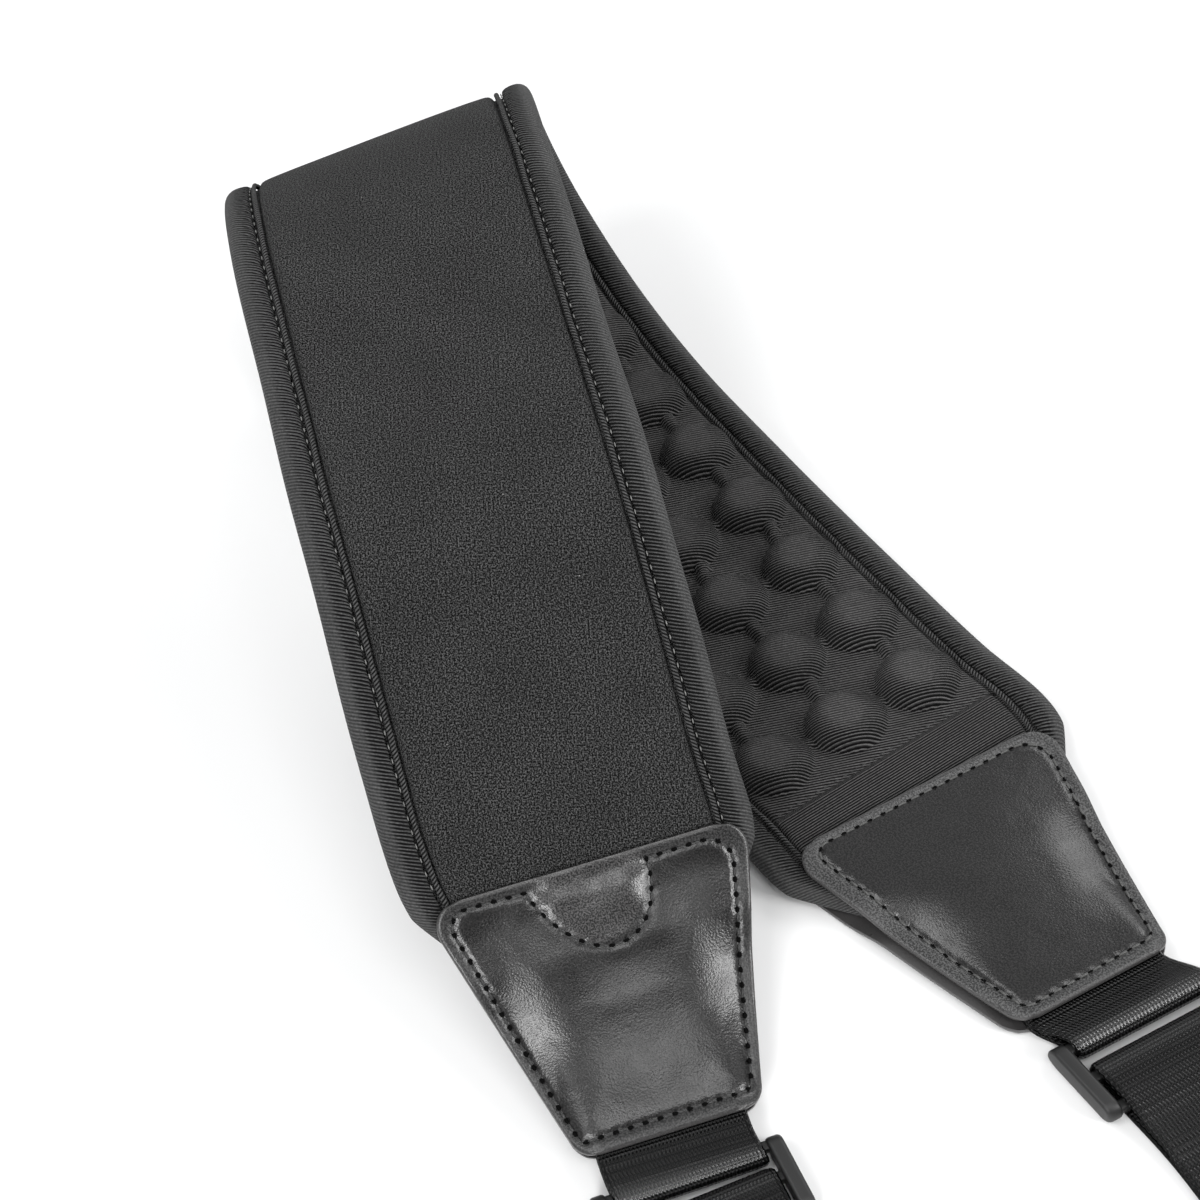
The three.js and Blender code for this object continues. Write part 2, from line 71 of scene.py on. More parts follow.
forward = (CAMERA_LOOKS_AT - CAMERA_AT).normalized()
level = forward.cross(Vector((0, 0, 1))).normalized()
upright = level.cross(forward)
right = math.cos(CAMERA_ROLL) * level + math.sin(CAMERA_ROLL) * upright
up = right.cross(forward)
camera_data = bpy.data.cameras.new("camera")
camera_data.lens = LENS_MM
camera_data.sensor_width = 36
camera = new_object("camera", camera_data)
turned = Matrix((right, up, -forward)).transposed().to_4x4()
camera.matrix_world = Matrix.Translation(CAMERA_AT) @ turned
bpy.context.scene.camera = camera
print("camera height, mm:", round(1000 * CAMERA_AT.z))

# %% [markdown]
# ## Table and light
# A white table under large soft lights gives shadows that are hardly there, as in a product
# picture. The table is bright enough to burn out to white. Five soft boxes stand overhead, at
# both front corners and at both sides, so that the leather's curves catch long soft highlights.
# The sky is dim in front of the strap, so that the leather's flat parts stay dark.

# %% Colours, table and lights
def linear(hex_colour, alpha=1.0):
    """An sRGB hex colour such as "3a3a3a" as the linear numbers that shaders work in."""
    parts = [int(hex_colour[i:i + 2], 16) / 255 for i in (0, 2, 4)]
    return [c / 12.92 if c <= 0.04045 else ((c + 0.055) / 1.055) ** 2.4 for c in parts] + [alpha]


def add(tree, kind, settings=None):
    """Adds a node. settings holds its properties, and for its sockets a value or what feeds them."""
    made = tree.nodes.new("ShaderNode" + kind)
    for key, value in (settings or {}).items():
        if isinstance(value, bpy.types.NodeSocket):
            tree.links.new(value, made.inputs[key])
        elif isinstance(key, int) or key in made.inputs:
            made.inputs[key].default_value = value
        else:
            setattr(made, key, value)
    return made


def new_material(name):
    """A new material with no nodes yet, and its node tree."""
    material = bpy.data.materials.new(name)
    material.use_nodes = True
    material.node_tree.nodes.clear()
    return material, material.node_tree


def finish(tree, sockets):
    """Ends a material's tree. sockets holds the values of its one shader and what feeds them."""
    shader = add(tree, "BsdfPrincipled", sockets)
    add(tree, "OutputMaterial", {"Surface": shader.outputs[0]})


TABLE_SIDE = 6.0
FRONT_SKY, BACK_SKY = 0.2, 1.0
table_mesh = bpy.data.meshes.new("table")
corner = TABLE_SIDE / 2
corners = [(x * corner, y * corner, 0) for x, y in ((-1, -1), (1, -1), (1, 1), (-1, 1))]
table_mesh.from_pydata(corners, [], [(0, 1, 2, 3)])
table = new_object("table", table_mesh)
paper, tree = new_material("white_paper")
finish(tree, {"Base Color": linear("e6e6e6"), "Roughness": 0.9})
table_mesh.materials.append(paper)

world = bpy.data.worlds.new("studio")
world.use_nodes = True
background = world.node_tree.nodes["Background"]
background.inputs["Color"].default_value = linear("fafbfc")
direction = add(world.node_tree, "TexCoord")
depth = add(world.node_tree, "SeparateXYZ", {"Vector": direction.outputs["Generated"]})
sky = add(world.node_tree, "MapRange", {"Value": depth.outputs["Y"], "From Min": -1.0,
                                        "To Min": FRONT_SKY, "To Max": BACK_SKY})
world.node_tree.links.new(sky.outputs[0], background.inputs["Strength"])
bpy.context.scene.world = world


def soft_light(name, at, size, watts):
    """A square soft box at a point, in metres, that shines at the middle of the table."""
    data = bpy.data.lights.new(name, "AREA")
    data.shape = "SQUARE"
    data.size = size
    data.energy = watts
    light = new_object(name, data)
    light.location = at
    light.rotation_mode = "QUATERNION"
    light.rotation_quaternion = (-Vector(at)).to_track_quat("-Z", "Y")


soft_light("overhead", (0.12, -0.65, 1.75), 0.7, 9)
soft_light("front left", (-1.08, -1.24, 1.13), 0.58, 22)
soft_light("front right", (1.25, -1.2, 1.0), 0.65, 25)
soft_light("left", (-1.0, 0, 1.7), 0.7, 11)
soft_light("right", (1.3, 0.6, 1.35), 0.7, 9)
bpy.context.scene.view_settings.view_transform = "Standard"

# %% [markdown]
# ## How the band lies
# The band is described flat, as a tailor would: s runs along it from end a to end b, w runs
# across it, and off is the height from its middle, all in millimetres. One function then lays
# that flat band over the fold. Every piece of the band goes through it, so the pieces bend
# together and their patterns follow the cloth.

# %% The lay of the band
MM = 0.001
LEATHER_LENGTH, LEATHER_THICK = 69.0, 1.8
PINCH = 0.6
ENDS = {
    "a": {"edge": 83.5, "out": -1, "turn": math.radians(2.9), "side": 1.2,
          "swing": 0.4, "skew": -0.1, "loose": 0.042},
    "b": {"edge": 589.6, "out": 1, "turn": math.radians(4.4), "side": 0.4,
          "swing": 4.2, "skew": 0.01, "loose": 0.0},
}
BAND_FLOOR = 4.7
BINDING_FACE = 4.5
END_FLOOR = 3.7
FIRST_BAR = 79.2
PAD_HALF, CORNER_SOFT = 44.5, 1.2
BOW, BOW_TWIST, BOW_MIDDLE, BOW_SPAN = 8.6, 2.6, 300, 250
SKEW = math.radians(9.0)
ORIGIN = (78.5, 65.2)
SLOPE_AT = (-10, 20, 50, 80, 110, 150, 190, 230, 260, 280, 300, 320, 340, 365, 400, 440)
SLOPE = (0, 16.5, 29.5, 36, 36, 27.6, 7, 7, 0, -14, -36, -62, -97, -141, -161.85, -180)


def smooth(x, start, end):
    """0 before start, 1 past end, and an easy S between."""
    t = np.clip((np.asarray(x, float) - start) / (end - start), 0, 1)
    return t * t * (3 - 2 * t)


def mix(a, b, share):
    """a, moved towards b by a share of the way."""
    return a + (b - a) * share


def slope_at(b):
    """How steeply the band climbs b mm along the fold's run."""
    return np.radians(np.interp(b, SLOPE_AT, SLOPE))


lay_b = np.arange(-300.0, 961.0)
lay_y = -300 + np.concatenate([[0], np.cumsum(np.cos(slope_at(lay_b[:-1] + 0.5)))])
lay_z = BAND_FLOOR + np.concatenate([[0], np.cumsum(np.sin(slope_at(lay_b[:-1] + 0.5)))])


def bow_at(s):
    """How far the flat band bows sideways; past the leathers it runs on straight."""
    held = np.clip(s, ENDS["a"]["edge"] - LEATHER_LENGTH, ENDS["b"]["edge"] + LEATHER_LENGTH)
    t = (held - BOW_MIDDLE) / BOW_SPAN
    lean = (2 * BOW * t + 3 * BOW_TWIST * t * t) / BOW_SPAN
    return BOW * t * t + BOW_TWIST * t ** 3 + lean * (s - held)


def strap_point(s, w, off):
    """Where a point of the flat strap comes to lie, in mm."""
    side = w + bow_at(s)
    across = s * math.sin(SKEW) + side * math.cos(SKEW)
    b = s * math.cos(SKEW) - side * math.sin(SKEW)
    lean = slope_at(b)
    y = np.interp(b, lay_b, lay_y) - np.sin(lean) * off
    z = np.interp(b, lay_b, lay_z) + np.cos(lean) * off
    return np.stack([across - ORIGIN[0], y - ORIGIN[1], z], -1)


def pinch_at(u):
    """How much of the band's thickness is left where the leathers squeeze it."""
    return mix(1, PINCH, smooth(u, -14, 12))


def leather_inside(u):
    """Height of the hollow inside a leather, over the band and then over the webbing."""
    return mix(BINDING_FACE * pinch_at(u) + 0.3, 2.4, smooth(u, 26, 48))


def rest_height(u):
    """Height of the middle surface above the table along an end."""
    low = mix(BAND_FLOOR, leather_inside(0.0) + LEATHER_THICK, smooth(u, -40, 0))
    high = mix(leather_inside(u) + LEATHER_THICK, END_FLOOR,
               smooth(u, LEATHER_LENGTH, LEATHER_LENGTH + 8))
    return np.where(u < 0, low, high)


def end_point(end, u, w, up):
    """A point of an end: u outwards from the leather's wide edge, up above the middle surface."""
    u, w, up = np.broadcast_arrays(*(np.asarray(v, float) for v in (u, w, up)))
    hangs = 1 - smooth(u, 104, 160)
    along = u + end["skew"] * w * smooth(u, 70, 92) * hangs
    across = w + (end["swing"] - end["skew"] * (u - FIRST_BAR)) * smooth(u, 69, 79) * hangs
    s = end["edge"] + end["out"] * along * math.cos(end["turn"]) + across * math.sin(end["turn"])
    side = across * math.cos(end["turn"]) - end["out"] * along * math.sin(end["turn"]) + end["side"]
    return strap_point(s, side, -end["out"] * (up + rest_height(u) - BAND_FLOOR))


def band_point(s, w, off):
    """A point of the padded band, pinched, lifted and steered into the leathers at its ends."""
    s, w, off = np.broadcast_arrays(*(np.asarray(v, float) for v in (s, w, off)))
    near_a = ENDS["a"]["edge"] - s >= s - ENDS["b"]["edge"]
    laid = []
    for end in ENDS.values():
        u = end["out"] * ((s - end["edge"]) * math.cos(end["turn"]) - w * math.sin(end["turn"]))
        steer = smooth(u, -30, 0) * (end["side"] - end["out"] * u * math.sin(end["turn"]))
        lift = end["out"] * (rest_height(u) - BAND_FLOOR)
        laid.append(strap_point(s, w + steer, off * pinch_at(u) - lift))
    return np.where(near_a[..., None], laid[0], laid[1])


def half_width(s):
    """Half the pad's width: parallel along the band, tapering in between the leathers."""
    past = np.maximum(ENDS["a"]["edge"] - s, s - ENDS["b"]["edge"])
    tapered = PAD_HALF + 0.4 - 0.4 * past - 0.35 * np.maximum(0, past - 4)
    return -CORNER_SOFT * np.log(np.exp(-PAD_HALF / CORNER_SOFT) + np.exp(-tapered / CORNER_SOFT))


print("fold is", round(float(lay_z.max())), "mm high")

# %% [markdown]
# ## From numbers to meshes
# Cloth, cord and leather are all swept shapes: a row of closed rings. sweep() joins such rings
# into one closed mesh and keeps each point's flat place, in millimetres, as its UV. The
# finishes draw their ribs and grain in that flat plan, so a pattern keeps its real size and
# follows every bend.

# %% Mesh helpers
def tube_faces(rings):
    """Side faces and end caps that join a row of rings (n, m, 3) into a closed body, by the
    numbers of their points. They look outwards, which makes the volume inside positive."""
    n, m, _ = rings.shape
    row, column = np.meshgrid(np.arange(n - 1) * m, np.arange(m), indexing="ij")
    after = (column + 1) % m
    sides = np.stack([row + column, row + after, row + m + after, row + m + column], -1).reshape(-1, 4)
    caps = np.stack([np.arange(m)[::-1], np.arange((n - 1) * m, n * m)])
    a, b, c, d = (rings.reshape(-1, 3)[sides[:, i]] for i in range(4))
    if np.sum(a * (np.cross(b, c) + np.cross(c, d))) > 0:
        return sides, caps
    return sides[:, ::-1], caps[:, ::-1]


def make_piece(name, points, faces, uv, material, sharp=50, marks=None):
    """Makes a smooth shaded object from points in mm, faces, and a UV in mm for each face corner.
    marks gives named numbers for each point, which the materials read."""
    mesh = bpy.data.meshes.new(name)
    mesh.from_pydata((points * MM).tolist(), [], faces)
    layer = mesh.uv_layers.new(name="flat")
    layer.data.foreach_set("uv", np.asarray(uv, np.float32).ravel())
    mesh.shade_smooth()
    mesh.set_sharp_from_angle(angle=math.radians(sharp))
    mesh.materials.append(material)
    for word, values in (marks or {}).items():
        stored = mesh.attributes.new(word, "FLOAT", "POINT")
        stored.data.foreach_set("value", np.asarray(values, np.float32).ravel())
    return new_object(name, mesh)


def sweep(name, rings, along, around, material, sharp=50, marks=None):
    """Joins closed rings (n, m, 3) into a capped mesh. along, (n,) or (n, m + 1), and around
    are its flat plan."""
    n, m, _ = rings.shape
    sides, caps = tube_faces(rings)
    along = np.broadcast_to(np.asarray(along, float).reshape(n, -1), (n, m + 1))
    around = np.broadcast_to(around, (n, m + 1))
    row, column = np.divmod(sides, m)
    column[(column == 0) & (column.max(1, keepdims=True) == m - 1)] = m
    cap_row, cap_column = np.divmod(caps, m)
    row, column = np.append(row, cap_row), np.append(column, cap_column)
    uv = np.stack([along[row, column], around[row, column]], -1)
    faces = sides.tolist() + caps.tolist()
    return make_piece(name, rings.reshape(-1, 3), faces, uv, material, sharp, marks)


def arc_length(points):
    """Distance along each row of points (n, m, k), from its first point and back round to it."""
    closed = np.concatenate([points, points[:, :1]], 1)
    steps = np.linalg.norm(np.diff(closed, axis=1), axis=2)
    return np.concatenate([np.zeros((len(points), 1)), np.cumsum(steps, 1)], 1)


def run_along(path):
    """Distance along a path (n, 2) at each of its points."""
    return np.concatenate([[0], np.cumsum(np.linalg.norm(np.diff(path, axis=0), axis=1))])


def points_at(path, at):
    """The points of a path at some distances along it."""
    run = run_along(path)
    return np.stack([np.interp(at, run, path[:, k]) for k in (0, 1)], -1)


def wear(piece, node):
    """Hangs a piece on the strap's body in place of its plain solid."""
    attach(piece, "root")
    if node:
        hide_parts(node)
    return piece


def drift(x, y, seed, size):
    """A gentle uneven surface between about -1 and 1, whose humps are about size mm apart."""
    random = np.random.default_rng(seed)
    total = 0
    for _ in range(6):
        angle, phase = random.uniform(0, 2 * math.pi, 2)
        reach = size * random.uniform(0.7, 1.5)
        total = total + np.sin(2 * math.pi * (x * math.cos(angle) + y * math.sin(angle)) / reach + phase)
    return total / 3


print("mesh helpers ready")

# %% [markdown]
# ## Finishes of the cloth
# All the cloth is dark charcoal, and only its surface tells the pieces apart. Ribs and knit are
# wave textures in the flat plan: a wave texture makes one wave in about 0.314 units at scale 1,
# so a pitch in millimetres gives its scale. Bump turns the waves into threads, and the same
# waves darken the furrows, where light doesn't reach. Real jersey has about two rows of loops in
# a millimetre, too fine to show from here. So knit and ribs are drawn 0.8 to 1 mm apart and a
# few tenths of a millimetre high, both more than the real ones.

# %% Cloth materials
WAVE = 2 * math.pi / 20


def cloth(name, light, pitch, height_mm, turn=0.0, cross=None, slack=0.3, lint=0.0):
    """A ribbed or knitted cloth: pitch runs along the band, cross (if any) across it, in mm.
    slack is how far its furrows open where it isn't stretched. lint is the radius of its pale
    specks, which lie 8 mm apart, as a share of that."""
    material, tree = new_material(name)
    flat = add(tree, "UVMap", {"uv_map": "flat"}).outputs[0]
    turned = add(tree, "Mapping", {"Vector": flat, "Rotation": (0, 0, math.radians(turn))}).outputs[0]
    if cross:
        wales = add(tree, "TexWave", {"Vector": turned, "bands_direction": "Y", "Scale": WAVE / cross,
                                      "Distortion": 2.5, "Detail": 2.0, "Detail Scale": 1.5})
        drawn = add(tree, "Mapping", {"Vector": turned, "Scale": (2.4 / pitch, 2.7 / cross, 1)})
        loops = add(tree, "TexNoise", {"Vector": drawn.outputs[0], "Scale": 1.0, "Detail": 2.0,
                                       "Roughness": 0.6})
        clear = add(tree, "MapRange", {"Value": loops.outputs["Fac"], "From Min": 0.43, "From Max": 0.57})
        ridge = add(tree, "MixRGB", {0: 0.85, 1: wales.outputs["Fac"], 2: clear.outputs[0]}).outputs[0]
    else:
        ridge = add(tree, "TexWave", {"Vector": turned, "Scale": WAVE / pitch, "Distortion": 0.5,
                                      "Detail": 1.0, "Detail Scale": 0.6}).outputs["Fac"]
    # This mark opens the furrows further. On the bubbles it also carries painted shade, a painted shadow
    # and painted light.
    stretch_and_shade = add(tree, "Attribute", {"attribute_name": "stretch_and_shade"}).outputs["Fac"]
    opened = add(tree, "Math", {"operation": "ADD", 0: stretch_and_shade, 1: slack}).outputs[0]
    furrow = add(tree, "MapRange", {"Value": ridge, "From Min": 1.0, "From Max": 0.0}).outputs[0]
    depth = add(tree, "Math", {"operation": "MULTIPLY", 0: furrow, 1: opened}).outputs[0]
    shade = add(tree, "MixRGB", {0: depth, 1: linear(light), 2: linear("000000")}).outputs[0]
    # Humps of 20 mm and fuzz of about half a millimetre make the tone uneven.
    blotch = add(tree, "TexNoise", {"Vector": flat, "Scale": 0.05, "Detail": 2.0}).outputs["Fac"]
    fuzz = add(tree, "TexNoise", {"Vector": flat, "Scale": 1.6, "Detail": 2.0,
                                  "Roughness": 0.7}).outputs["Fac"]
    mottle = add(tree, "Math", {"operation": "MULTIPLY_ADD", 0: blotch, 1: 0.3, 2: fuzz}).outputs[0]
    uneven = add(tree, "MapRange", {"Value": mottle, "From Min": 0.35, "From Max": 0.95,
                                    "To Min": 0.4, "To Max": 1.6}).outputs[0]
    colour = add(tree, "VectorMath", {"operation": "SCALE", 0: shade, "Scale": uneven}).outputs[0]
    if lint:
        cells = add(tree, "TexVoronoi", {"Vector": flat, "Scale": 0.12}).outputs["Distance"]
        speck = add(tree, "Math", {"operation": "LESS_THAN", 0: cells, 1: lint}).outputs[0]
        colour = add(tree, "MixRGB", {0: speck, 1: colour, 2: linear("7c7b7a")}).outputs[0]
    sunk = add(tree, "Math", {"operation": "MULTIPLY_ADD", 0: fuzz, 1: 0.2, 2: depth}).outputs[0]
    bump = add(tree, "Bump", {"Height": sunk, "invert": True, "Strength": 1.0,
                              "Distance": height_mm * MM}).outputs[0]
    finish(tree, {"Base Color": colour, "Normal": bump, "Roughness": 0.95, "Sheen Weight": 0.05,
                  "Sheen Roughness": 0.4, "Specular IOR Level": 0.12})
    return material


knit = cloth("charcoal_jersey_knit", "484848", 1.0, 0.24, turn=12, cross=1.05, slack=1.2, lint=0.025)
bubble_jersey = cloth("fine_rib_jersey", "525151", 0.85, 0.34, slack=0.95, lint=0.025)
edge_tape = cloth("ribbed_edge_tape", "4c4c4c", 0.87, 0.4, turn=-21, slack=0.6)
cord_cover = cloth("cord_cover", "4e4e4e", 0.8, 0.3, turn=32, slack=1.1)
print("cloths:", len(bpy.data.materials) - 1)

# %% [markdown]
# ## Leather
# The end pieces are thin split leather with a pressed grain and a satin coat: pebbles and pores
# of about half a millimetre, and soft creases some 8 mm apart. Outside the stitches, and in the
# U where it is only glued down, the leather is flatter and looks rougher. The U is also drawn
# lighter, partly its own tone and partly a painted highlight. Its cut edge is pale, because the
# coat stops there, and the same mark paints a thin highlight on the raised lip round the U.

# %% Leather material
leather, tree = new_material("pressed_grain_leather")
flat = add(tree, "UVMap", {"uv_map": "flat"}).outputs[0]
pebbles = add(tree, "TexVoronoi", {"Vector": flat, "feature": "SMOOTH_F1", "Scale": 2.0,
                                   "Smoothness": 0.5}).outputs["Distance"]
pores = add(tree, "TexNoise", {"Vector": flat, "Scale": 2.2, "Detail": 2.0,
                               "Roughness": 0.6}).outputs["Fac"]
creases = add(tree, "TexNoise", {"Vector": flat, "Scale": 0.12, "Detail": 1.0,
                                 "Distortion": 0.4}).outputs["Fac"]
margin, cut_edge_and_lip_highlight, patch = (add(tree, "Attribute", {"attribute_name": word}).outputs["Fac"]
                      for word in ("margin", "cut_edge_and_lip_highlight", "patch"))
speckle = add(tree, "MapRange", {"Value": pores, "From Min": 0.46, "From Max": 0.56}).outputs[0]
# The U's lighter tone is partly its own and partly a painted highlight.
tones = (("010101", "201f1f"), ("101010", "434242"), ("111111", "4e4e4e"))
coated, glued_and_highlit, fuzzy = (add(tree, "MixRGB", {0: speckle, 1: linear(dark), 2: linear(light)}).outputs[0]
                        for dark, light in tones)
skin = add(tree, "MixRGB", {0: patch, 1: coated, 2: glued_and_highlit}).outputs[0]
pressed = add(tree, "MixRGB", {0: margin, 1: skin, 2: fuzzy}).outputs[0]
# The pale edge colour also serves as a painted highlight along the raised lip round the U.
edged_and_highlit = add(tree, "MixRGB", {0: cut_edge_and_lip_highlight, 1: pressed, 2: linear("3c3b3b")}).outputs[0]
worn = add(tree, "MapRange", {"Value": creases, "From Min": 0.3, "From Max": 0.7,
                              "To Min": 0.26, "To Max": 0.32}).outputs[0]
rough = add(tree, "Math", {"operation": "MULTIPLY_ADD", 0: margin, 1: 0.18, 2: worn}).outputs[0]
grain = add(tree, "Math", {"operation": "MULTIPLY_ADD", 0: pores, 1: 1.0, 2: pebbles}).outputs[0]
soft_bump = add(tree, "Bump", {"Height": creases, "Strength": 0.3, "Distance": 0.5 * MM}).outputs[0]
fine_bump = add(tree, "Bump", {"Height": grain, "Normal": soft_bump, "Strength": 1.0,
                               "Distance": 0.038 * MM}).outputs[0]
finish(tree, {"Base Color": edged_and_highlit, "Roughness": rough, "Normal": fine_bump})
print("leather nodes:", len(tree.nodes))

# %% [markdown]
# ## Thread, webbing and plastic
# Thread is twisted polyester, and one function makes every colour of it. The webbing is smooth
# nylon, and each warp cord catches its own streak of light, most where the webbing is bent hard
# round a bar. A real cord is finer than the 0.95 mm drawn here, which still shows. The slides
# are acetal moulded in a sparked tool, which leaves a fine dull skin.

# %% Thread, webbing and plastic materials
def sewing_thread(name, tone, twist_mm, depth_mm):
    """A twisted thread: twist_mm is the pitch of its twist, depth_mm how deep its furrows are."""
    material, tree = new_material(name)
    flat = add(tree, "UVMap", {"uv_map": "flat"}).outputs[0]
    twist = add(tree, "TexWave", {"Vector": flat, "bands_direction": "DIAGONAL",
                                  "Scale": WAVE / twist_mm}).outputs["Fac"]
    bump = add(tree, "Bump", {"Height": twist, "Strength": 0.8, "Distance": depth_mm * MM}).outputs[0]
    finish(tree, {"Base Color": linear(tone), "Roughness": 0.45, "Sheen Weight": 0.2, "Normal": bump})
    return material


thread = sewing_thread("bonded_polyester_thread", "101010", 0.5, 0.05)
# End b's thread is drawn lighter grey, partly its own tone and partly a painted sheen.
grey_thread_and_sheen = sewing_thread("grey_thread_painted_sheen", "3c3c3b", 0.5, 0.05)
pale_thread = sewing_thread("grey_cover_thread", "6c6c6a", 0.3, 0.03)
# A dark spindle of painted shade stands in each needle hole.
needle_hole, tree = new_material("needle_hole_shadow")
finish(tree, {"Base Color": linear("010101"), "Roughness": 0.9, "Specular IOR Level": 0.1})

nylon, tree = new_material("black_nylon_webbing")
flat = add(tree, "UVMap", {"uv_map": "flat"}).outputs[0]
zigzag = add(tree, "TexWave", {"Vector": flat, "wave_profile": "TRI", "Scale": WAVE / 1.9}).outputs["Fac"]
sway = add(tree, "Math", {"operation": "MULTIPLY", 0: zigzag, 1: 0.25}).outputs[0]
shift = add(tree, "CombineXYZ", {"Y": sway}).outputs[0]
swayed = add(tree, "VectorMath", {"operation": "ADD", 0: flat, 1: shift}).outputs[0]
warp = add(tree, "TexWave", {"Vector": swayed, "bands_direction": "Y", "Scale": WAVE / 0.95}).outputs["Fac"]
weft = add(tree, "TexWave", {"Vector": swayed, "Scale": WAVE / 1.0}).outputs["Fac"]
weave = add(tree, "Math", {"operation": "MULTIPLY_ADD", 0: weft, 1: 0.5, 2: warp}).outputs[0]
yarn = add(tree, "MixRGB", {0: warp, 1: linear("000000"), 2: linear("010101")}).outputs[0]
shine = add(tree, "MapRange", {"Value": warp, "To Min": 0.32, "To Max": 0.16}).outputs[0]
polish = add(tree, "Attribute", {"attribute_name": "polish"}).outputs["Fac"]
gloss = add(tree, "MapRange", {"Value": polish, "To Min": 0.18, "To Max": 0.66}).outputs[0]
bump = add(tree, "Bump", {"Height": weave, "Strength": 1.0, "Distance": 0.16 * MM}).outputs[0]
finish(tree, {"Base Color": yarn, "Roughness": shine, "Specular IOR Level": gloss, "Normal": bump})

acetal, tree = new_material("moulded_black_acetal")
flat = add(tree, "UVMap", {"uv_map": "flat"}).outputs[0]
spark = add(tree, "TexNoise", {"Vector": flat, "Scale": 3.0, "Detail": 2.0}).outputs["Fac"]
tone = add(tree, "MixRGB", {0: spark, 1: linear("0a0a0a"), 2: linear("181818")}).outputs[0]
bump = add(tree, "Bump", {"Height": spark, "Strength": 0.4, "Distance": 0.03 * MM}).outputs[0]
finish(tree, {"Base Color": tone, "Roughness": 0.48, "IOR": 1.48, "Normal": bump})
print("materials:", len(bpy.data.materials))

# %% [markdown]
# ## The outer panel
# The outer face is a smooth jersey knit bonded to foam. It is not quite flat: the foam swells a
# little between the piping lines, and dives into the groove that the piping lies in. Each ring
# of the sweep is one cross cut of the panel, drawn from its right groove to its left one.

# %% Outer panel
GROOVE = 10.3
PANEL_SIDE = np.array([(1.8, 0.3), (1.8, 1.8), (3.1, 3.0), (7.9, 2.2), (9.6, 2.2), (GROOVE, 2.25)])
BAND_START, BAND_STOP = 57.5, 615.6


def panel_top(s, w, half):
    """Height of the outer face over the middle surface."""
    inward = half - GROOVE - np.abs(w)
    swell = 2.3 + 1.75 * (1 - np.exp(-inward / 0.55)) + 0.45 * (1 - np.exp(-inward / 5))
    return swell + 0.16 * drift(s, w, 3, 55)


def closed_ring(half, side, top_w, top_off, facing):
    """Cross cuts of a panel: its side, its top, the other side and its hidden floor. facing is
    1 for the outer panel and -1 for the inner one."""
    side_w = facing * (half - side[:, 0])
    side_off = np.broadcast_to(side[:, 1], side_w.shape)
    floor_w = facing * (half - side[0, 0]) * np.array([-0.6, -0.2, 0.2, 0.6])
    ring_w = np.concatenate([side_w, top_w, -side_w[:, ::-1], floor_w], 1)
    ring_off = np.concatenate([side_off, top_off, side_off[:, ::-1], 0 * floor_w + 0.3], 1)
    return ring_w, ring_off, arc_length(np.stack([ring_w, ring_off], -1))


stations = np.arange(BAND_START, BAND_STOP + 0.6, 1.2)
half = half_width(stations)[:, None]
inward = np.concatenate([np.array([0.1, 0.35, 0.7, 1.2, 1.9, 2.8, 4.0]), np.linspace(5.4, 33, 22)])
ratio = inward / (PAD_HALF - GROOVE)
right_w = (half - GROOVE) * (1 - ratio)
top_w = np.concatenate([right_w, 0 * half, -right_w[:, ::-1]], 1)
top_off = panel_top(stations[:, None], top_w, half)
ring_w, ring_off, around = closed_ring(half, PANEL_SIDE, top_w, top_off, 1)
around -= around[:, [len(PANEL_SIDE) + len(inward)]]
rings = band_point(stations[:, None], ring_w, ring_off)
outer_panel = wear(sweep("outer_face", rings, stations, around, knit), "outer_panel")
print("outer face:", len(outer_panel.data.polygons), "faces")

# %% [markdown]
# ## The inner panel and its bubbles
# The inner face is a ribbed jersey moulded over a sheet of foam bubbles, three across. The
# bubbles are real geometry: a height above the face, worked out at every point of the sweep.
# Narrow tubes join each bubble to the next along the band, and low ties join it to the next
# column. Where the jersey is pulled over a bubble's flank, its furrows open, so the points there
# carry a mark that the material reads. The same mark paints shade on each bubble's left and lower
# flanks, a painted shadow round its lower-left foot and a little painted light on its top.

# %% Inner panel
ROW_PITCH, ROWS, LAST_ROW = 24.6, 19, 562.4
COLUMN_PITCH = 22.9
BUBBLE_RADIUS, BUBBLE_HEIGHT = 10.4, 5.1
TUBE_RADIUS, TUBE_HEIGHT = 2.1, 2.5
TIE_HALF, TIE_HEIGHT = 1.7, 1.3
RIB_SLANT = 0.42
RIBS_OFF_SHEET = 1.2  # the plain strips past the bubbles are ribbed this much finer
SEAM_B = 576.6
SEAM_A = LAST_ROW - (ROWS - 1) * ROW_PITCH - (SEAM_B - LAST_ROW)


